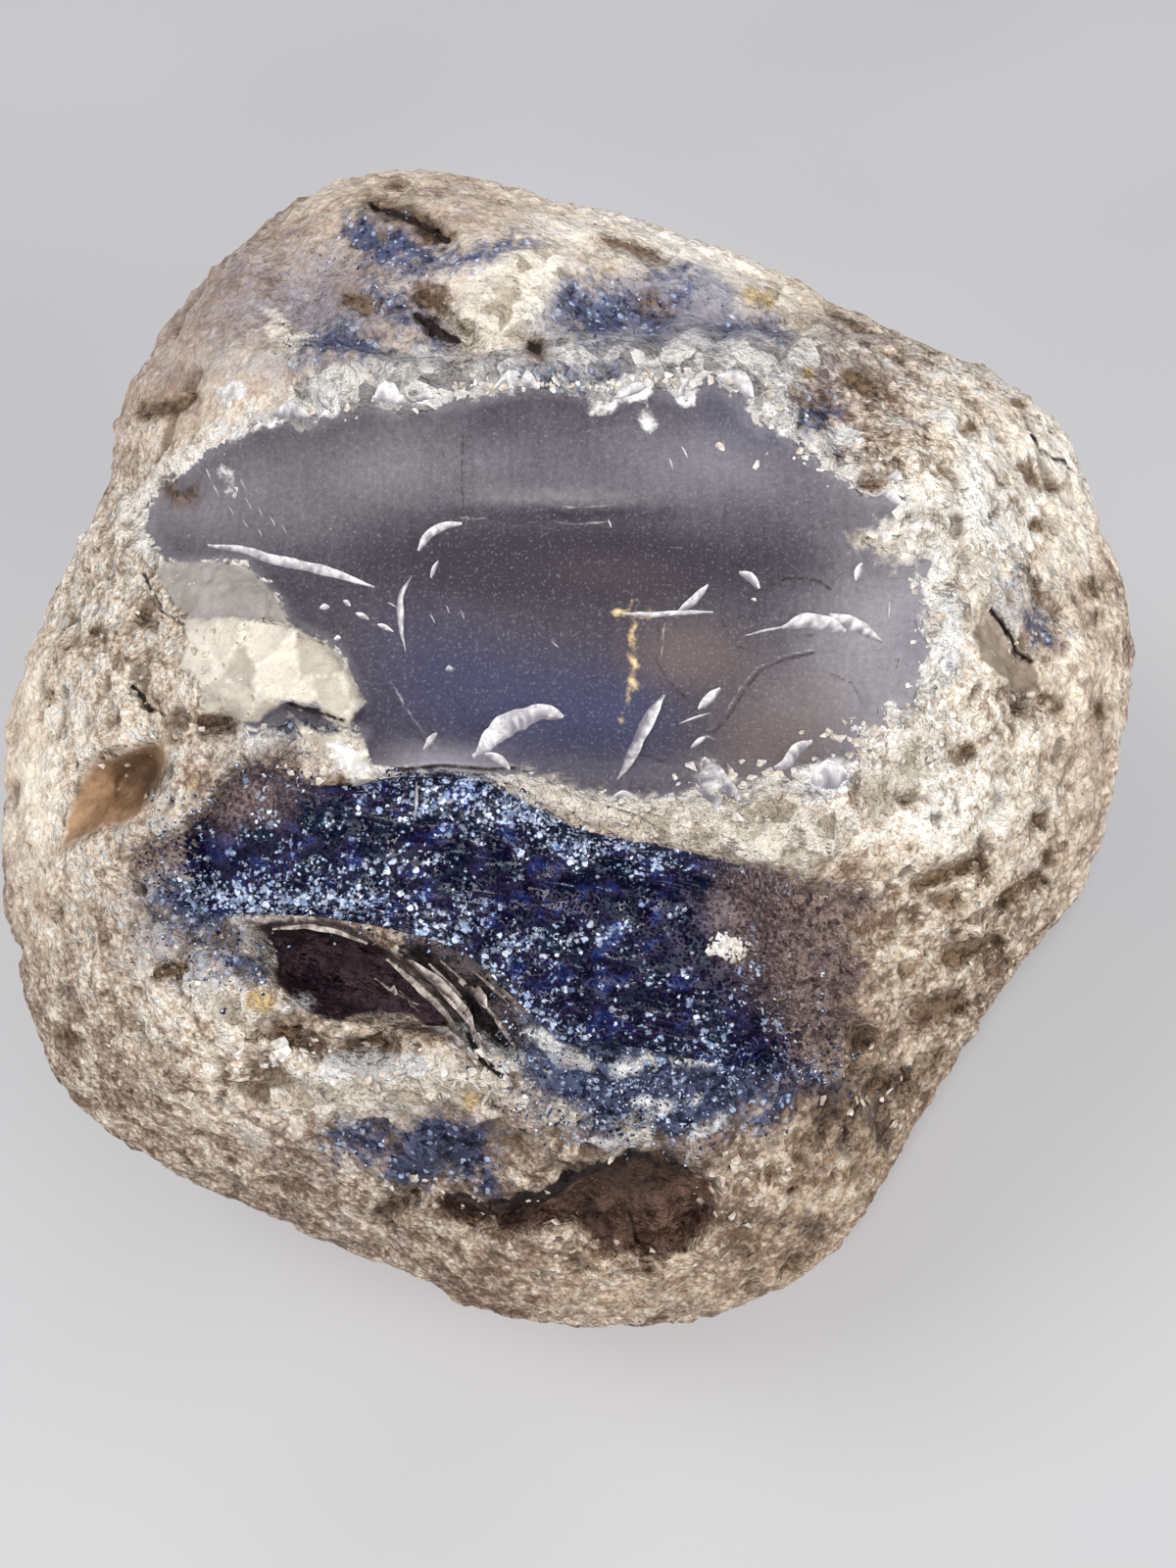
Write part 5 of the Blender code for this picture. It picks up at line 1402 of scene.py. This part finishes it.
def surface_frame(across, up, reach=0.25):
    """World places on the surface and the direction that it faces there."""
    here = surface(across, up)
    right = surface(across + reach, up) - here
    above = surface(across, up + reach) - here
    facing = np.cross(right, above)
    return here, facing / np.linalg.norm(facing, axis=1)[:, None]


def crust_slab():
    """Points and faces of the crust that the crystals stand on, and their places on the board."""
    shape = bmesh.new()
    bmesh.ops.create_icosphere(shape, subdivisions=SPHERE_STEPS, radius=1.0)
    directions = np.array([vertex.co for vertex in shape.verts])
    faces = [[vertex.index for vertex in face.verts] for face in shape.faces]
    shape.free()
    across, up, out = directions.T
    angle = np.arctan2(up, across)
    radius = polar_radius(angle, closed_curve(CRUST_BED), CRUST_CENTRE) + CRUST_WIDER
    radius = radius * np.clip(np.hypot(across, up), 0.0, 1.0) ** CRUST_FULL
    across = CRUST_CENTRE[0] + radius * np.cos(angle)
    up = CRUST_CENTRE[1] + radius * np.sin(angle)
    thick = np.abs(out) ** CRUST_FLAT
    rough = lumps(np.stack((across, up, 0 * up), 1) * MM, CRUST_GRAIN) - CRUST_LEVEL
    own = np.where(out > 0.0, rough * thick, -CRUST_THICKNESS * thick)
    own -= CRUST_SINK * (1.0 - crust_shows(across))
    height = body_height(across, up) + relief(across, up) + own
    return to_world(across, up, height), faces, np.stack((across, up))


def crystals(across, up, random):
    """Points and faces of a pointed crystal at each place on the board."""
    count = len(across)
    here, facing = surface_frame(across, up)
    axis = facing + CRYSTAL_TILT * random.uniform(-1.0, 1.0, (count, 3))
    axis /= np.linalg.norm(axis, axis=1)[:, None]
    side = np.cross(axis, random.normal(size=(count, 3)))
    side /= np.linalg.norm(side, axis=1)[:, None]
    other = np.cross(axis, side)
    radius = random.uniform(*CRYSTAL_RADIUS, count)[:, None, None] * MM
    point = here + axis * random.uniform(*CRYSTAL_HEIGHT, count)[:, None] * MM
    root = here - axis * CRYSTAL_ROOT * MM
    turns = (np.arange(CRYSTAL_SIDES) * 2.0 * math.pi / CRYSTAL_SIDES)[None, :, None]
    ring = side[:, None] * np.cos(turns) + other[:, None] * np.sin(turns)
    points = np.concatenate((root[:, None] + ring * radius, point[:, None]), 1).reshape(-1, 3)
    faces = []
    for first in range(0, CRYSTAL_POINTS * count, CRYSTAL_POINTS):
        tip = first + CRYSTAL_SIDES
        corners = list(range(first, tip))
        faces += [(a, b, tip) for a, b in zip(corners, corners[1:] + corners[:1])]
        faces.append(tuple(reversed(corners)))
    return points, faces


def grid_in(low, high, random):
    """Places about CRYSTAL_STEP apart between two corners, each a little off its row."""
    across, up = np.meshgrid(np.arange(low[0], high[0], CRYSTAL_STEP),
                             np.arange(low[1], high[1], CRYSTAL_STEP))
    stray = random.uniform(-CRYSTAL_STRAY, CRYSTAL_STRAY, (2, across.size)) * CRYSTAL_STEP
    return across.ravel() + stray[0], up.ravel() + stray[1]


def glint_frost_of(across, up, share):
    """The share of pale plates, partly frost and partly painted glints, near each place: they
    stand in groups.
    """
    groups = lumps(np.stack((across, up, 0 * up), 1) * MM, GLINT_FROST_GROUPS)
    return np.clip(share + groups + spots(across, up, GLINT_FROST_SPOTS), 0.0, 1.0)


def glint_plated(look, shown, glint_frost):
    """Pale plates over a colour, partly frost and partly painted glints, parted by dark gaps and
    thick where the glint frost is high.
    """
    for size, threshold in PLATES:
        plate, tones = look.cells(size)
        chosen = look.sum((tones[0], 1.0), (glint_frost, 0.8))
        chosen = look.range(chosen, threshold, threshold + PLATE_SOFT)
        share = look.math("MULTIPLY", look.range(plate.outputs["Distance"], *PLATE_FADE), chosen)
        share = look.math("MULTIPLY", share, look.range(tones[1], *PLATE_BRIGHT))
        pale_and_painted_light = look.mix(tones[2], colour(*GLINT_PLATE_DARK), colour(*GLINT_PLATE_LIGHT))
        shown = look.mix(share, shown, pale_and_painted_light)
    return shown


def druse_look():
    """Clear dark crystals on a navy ground, brown in places, with groups of pale plates that are
    partly frost and partly painted glints.
    """
    look = Look("quartz_druse")
    fleck, cloud = look.noise(*FLECK), look.noise(*GROUND)
    dark = look.ramp(look.range(cloud, *GROUND_RANGE), GROUND_RAMP)
    dark = look.stain_and_shade(dark, fleck, *FLECK_STAIN)
    brown = look.range(look.sum((look.value("brown"), 1.0), (cloud, 0.8)), *EARTH_RANGE)
    dark = look.mix(brown, dark, look.tones(fleck, *EARTH_TONES))
    look.bump(look.noise(*SPARKLE), SPARKLE_BUMP)
    # pale plates of frost and painted glints
    shown = glint_plated(look, dark, look.value("glint_frost"))
    return look.finished(shown, look.range(fleck, *DRUSE_ROUGH), DRUSE_SHINE)


def make_druse():
    """The crust: its slab and the crystals on it, as one piece."""
    random = np.random.default_rng(DRUSE_SEED)
    slab, faces, slab_board = crust_slab()
    edge = np.array(DRUSE_EDGE, float)
    across, up = grid_in(edge.min(axis=0), edge.max(axis=0), random)
    inside = depth_inside(across, up, edge) + random.uniform(*DRUSE_RAGGED, len(across)) > 0
    across, up = across[inside], up[inside]
    points, crystal_faces = crystals(across, up, random)
    faces += [tuple(len(slab) + index for index in face) for face in crystal_faces]
    piece = new_piece("druse_crust", np.concatenate((slab, points)), faces, druse_look())
    board = np.concatenate((slab_board, np.repeat((across, up), CRYSTAL_POINTS, axis=1)), 1)
    keep_values(piece.data, "glint_frost", glint_frost_of(*board, CRUST_GLINT_FROST))
    keep_values(piece.data, "brown", spots(*board, BROWN))
    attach(piece, "root")
    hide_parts("druse")


def make_sprinkles():
    """Single crystals round the crust and in other places of the face."""
    random = np.random.default_rng(DRUSE_SEED + 1)
    chosen = []
    for spot in SPRINKLES:
        middle, reach = np.array(spot[0]), SPRINKLE_REACH * np.array(spot[1:3])
        across, up = grid_in(middle - reach, middle + reach, random)
        kept = random.uniform(size=len(across)) < spots(across, up, (spot,))
        chosen.append(np.stack((across[kept], up[kept])))
    across, up = np.concatenate(chosen, 1)
    outside = depth_inside(across, up, np.array(DRUSE_EDGE, float)) < 0
    across, up = across[outside], up[outside]
    points, faces = crystals(across, up, random)
    piece = new_piece("druse_sprinkle", points, faces, druse_look())
    board = np.repeat((across, up), CRYSTAL_POINTS, axis=1)
    keep_values(piece.data, "glint_frost", glint_frost_of(*board, SPRINKLE_GLINT_FROST))
    keep_values(piece.data, "brown", np.zeros(len(points)))
    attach(piece, "root")


# ---- Shards and crumbs ----
def smooth_line(points, count):
    """Places evenly along an open line through the points."""
    points = np.array(points, float)
    run = np.concatenate(((0.0,), np.cumsum(np.hypot(*np.diff(points, axis=0).T))))
    where = np.linspace(0.0, run[-1], count)
    line = np.stack([np.interp(where, run, points[:, axis]) for axis in (0, 1)], 1)
    for _ in range(2):
        line[1:-1] = (line[:-2] + 2.0 * line[1:-1] + line[2:]) / 4.0
    return line


def taper(share, blunt, power):
    """1 in the middle of a flake and less towards its ends, which are a little blunt."""
    return np.sin(math.pi * np.clip(share, blunt, 1.0 - blunt)) ** power


def flake_look(name, dark, light, clear):
    """Broken chalcedony: cloudy at its raised edge and clear at its thin rim."""
    look = Look(name)
    patch = look.noise(*FLAKE_PATCH)
    shown = look.tones(patch, FLAKE_RANGE, dark, light)
    thin = look.sum((look.value("thin"), 1.0), (patch, 0.8))
    shown = look.stain_and_shade(shown, thin, FLAKE_CLEAR, clear)
    look.bump(patch, FLAKE_BUMP)
    return look.finished(shown, look.range(patch, *FLAKE_ROUGH), FLAKE_SHINE)


def make_shards(name, table, look):
    """Thin curved flakes, each a band with one raised edge."""
    random = np.random.default_rng(FLAKE_SEED)
    board, proud, thin, faces, first = [], [], [], [], 0
    edges = len(FLAKE_EDGES)
    for half_width, lift, points in table:
        length = sum(math.dist(a, b) for a, b in zip(points, points[1:]))
        count = max(FLAKE_LEAST, int(length / FLAKE_STEP))
        line = smooth_line(points, count)
        along = np.gradient(line, axis=0)
        along /= np.linalg.norm(along, axis=1)[:, None]
        sideways = np.stack((-along[:, 1], along[:, 0]), 1)
        share = np.linspace(0.0, 1.0, count)
        width = half_width * taper(share, *FLAKE_WIDTH)
        ragged = random.uniform(*FLAKE_RAGGED, count)
        width *= (ragged + np.roll(ragged, 1) + np.roll(ragged, 2)) / 3.0
        for side, height, lifted, clear in FLAKE_EDGES:
            stray = random.uniform(-FLAKE_STRAY, FLAKE_STRAY, count)
            board.append(line + side * width[:, None] * sideways)
            thin.append(np.clip(clear + stray, 0.0, 1.0))
            proud.append((height + lifted * lift) * taper(share, *FLAKE_HEIGHT))
        for k in range(count - 1):
            for row in range(edges):
                a, b = first + row * count + k, first + (row + 1) % edges * count + k
                faces.append((a, a + 1, b + 1, b))
        faces.append(tuple(first + row * count for row in range(edges)))
        faces.append(tuple(first + row * count + count - 1 for row in reversed(range(edges))))
        first += edges * count
    here, facing = surface_frame(*np.concatenate(board).T)
    places = here + facing * np.concatenate(proud)[:, None] * MM
    piece = new_piece(name, places, faces, look)
    keep_values(piece.data, "thin", np.concatenate(thin))
    shape = bmesh.new()
    shape.from_mesh(piece.data)
    bmesh.ops.recalc_face_normals(shape, faces=shape.faces)
    shape.to_mesh(piece.data)
    shape.free()
    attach(piece, "root")


def crumb_look():
    """Crumbs of rind and of white chalcedony."""
    look = Look("chalcedony_crumbs")
    patch = look.noise(*CRUMB_PATCH)
    shown = look.mix(look.value("white"), look.tones(patch, *CRUMB_WARM),
                     look.tones(patch, *CRUMB_WHITE))
    look.bump(patch, CRUMB_BUMP)
    return look.finished(shown, look.range(patch, *CRUMB_ROUGH), CRUMB_SHINE)


def make_crumbs():
    """Small angular chips that lie half sunk in the skin."""
    random = np.random.default_rng(CRUMB_SEED)
    board, sizes, whites = [], [], []
    for middle, half_width, half_height, count, greatest, white in CRUMB_ZONES:
        spread = (CRUMB_SPREAD * half_width, CRUMB_SPREAD * half_height)
        board.append(random.normal(middle, spread, (count, 2)))
        sizes.append(greatest * random.uniform(*CRUMB_SHARE, count) ** CRUMB_POWER)
        whites.append(np.clip(white + random.uniform(*CRUMB_WHITES, count), 0.0, 1.0))
    board, sizes, whites = np.concatenate(board), np.concatenate(sizes), np.concatenate(whites)
    points, faces, shown = [], [], []
    for middle, normal, size, white in zip(*surface_frame(*board.T), sizes, whites):
        chip = bmesh.new()
        for corner in random.normal(size=(CRUMB_CORNERS, 3)):
            corner = corner / np.linalg.norm(corner) * size * MM * CRUMB_RADIUS
            corner = corner - CRUMB_FLAT * normal * float(corner @ normal)
            chip.verts.new(middle + corner + CRUMB_PROUD * size * MM * normal)
        hull = bmesh.ops.convex_hull(chip, input=chip.verts)
        bmesh.ops.delete(chip, geom=hull["geom_interior"] + hull["geom_unused"], context="VERTS")
        chip.verts.index_update()
        first = len(points)
        points += [tuple(vertex.co) for vertex in chip.verts]
        shown += [white] * len(chip.verts)
        faces += [tuple(first + vertex.index for vertex in face.verts) for face in chip.faces]
        chip.free()
    piece = new_piece("broken_crumbs", np.clip(points, *CAD_BOX), faces, crumb_look())
    keep_values(piece.data, "white", shown)
    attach(piece, "root")


# ---- Camera, floor and light ----
def make_camera():
    """A camera at the apex that looks at the stone's middle."""
    data = bpy.data.cameras.new("camera")
    data.lens, data.sensor_width, data.clip_start = LENS, SENSOR, NEAREST
    camera = bpy.data.objects.new("camera", data)
    camera.location = (MIDDLE + FACE_AXIS * APEX_DISTANCE) * MM
    camera.rotation_euler = Vector(-FACE_AXIS).to_track_quat("-Z", "Y").to_euler()
    bpy.context.scene.collection.objects.link(camera)
    bpy.context.scene.camera = camera


def make_floor():
    """The sheet that the stone lies on, as a plain floor."""
    half = FLOOR_HALF
    corners = [(-half, -half, 0), (half, -half, 0), (half, half, 0), (-half, half, 0)]
    new_piece("floor", corners, [(0, 1, 2, 3)], floor_look())


def make_light():
    """A soft pale room with three lamps that face the stone."""
    world = bpy.data.worlds.new("studio")
    world.use_nodes = True
    background = world.node_tree.nodes["Background"].inputs
    background["Color"].default_value = colour(*WORLD_COLOUR)
    background["Strength"].default_value = WORLD_LIGHT
    bpy.context.scene.world = world
    for number, (place, size, power) in enumerate(LAMPS):
        data = bpy.data.lights.new(f"lamp_{number}", "AREA")
        data.size, data.energy = size, power
        lamp = bpy.data.objects.new(f"lamp_{number}", data)
        lamp.location = place
        aim = Vector(MIDDLE * MM) - Vector(place)
        lamp.rotation_euler = aim.to_track_quat("-Z", "Y").to_euler()
        bpy.context.scene.collection.objects.link(lamp)


bpy.context.scene.view_settings.view_transform = "Standard"
make_camera()
make_light()
make_floor()
make_stone()
make_druse()
make_sprinkles()
make_shards("window_shards", SHARDS, flake_look("broken_chalcedony", *SHARD_COLOURS))
make_shards("cavity_splinters", SPLINTERS, flake_look("broken_splinters", *SPLINTER_COLOURS))
make_crumbs()
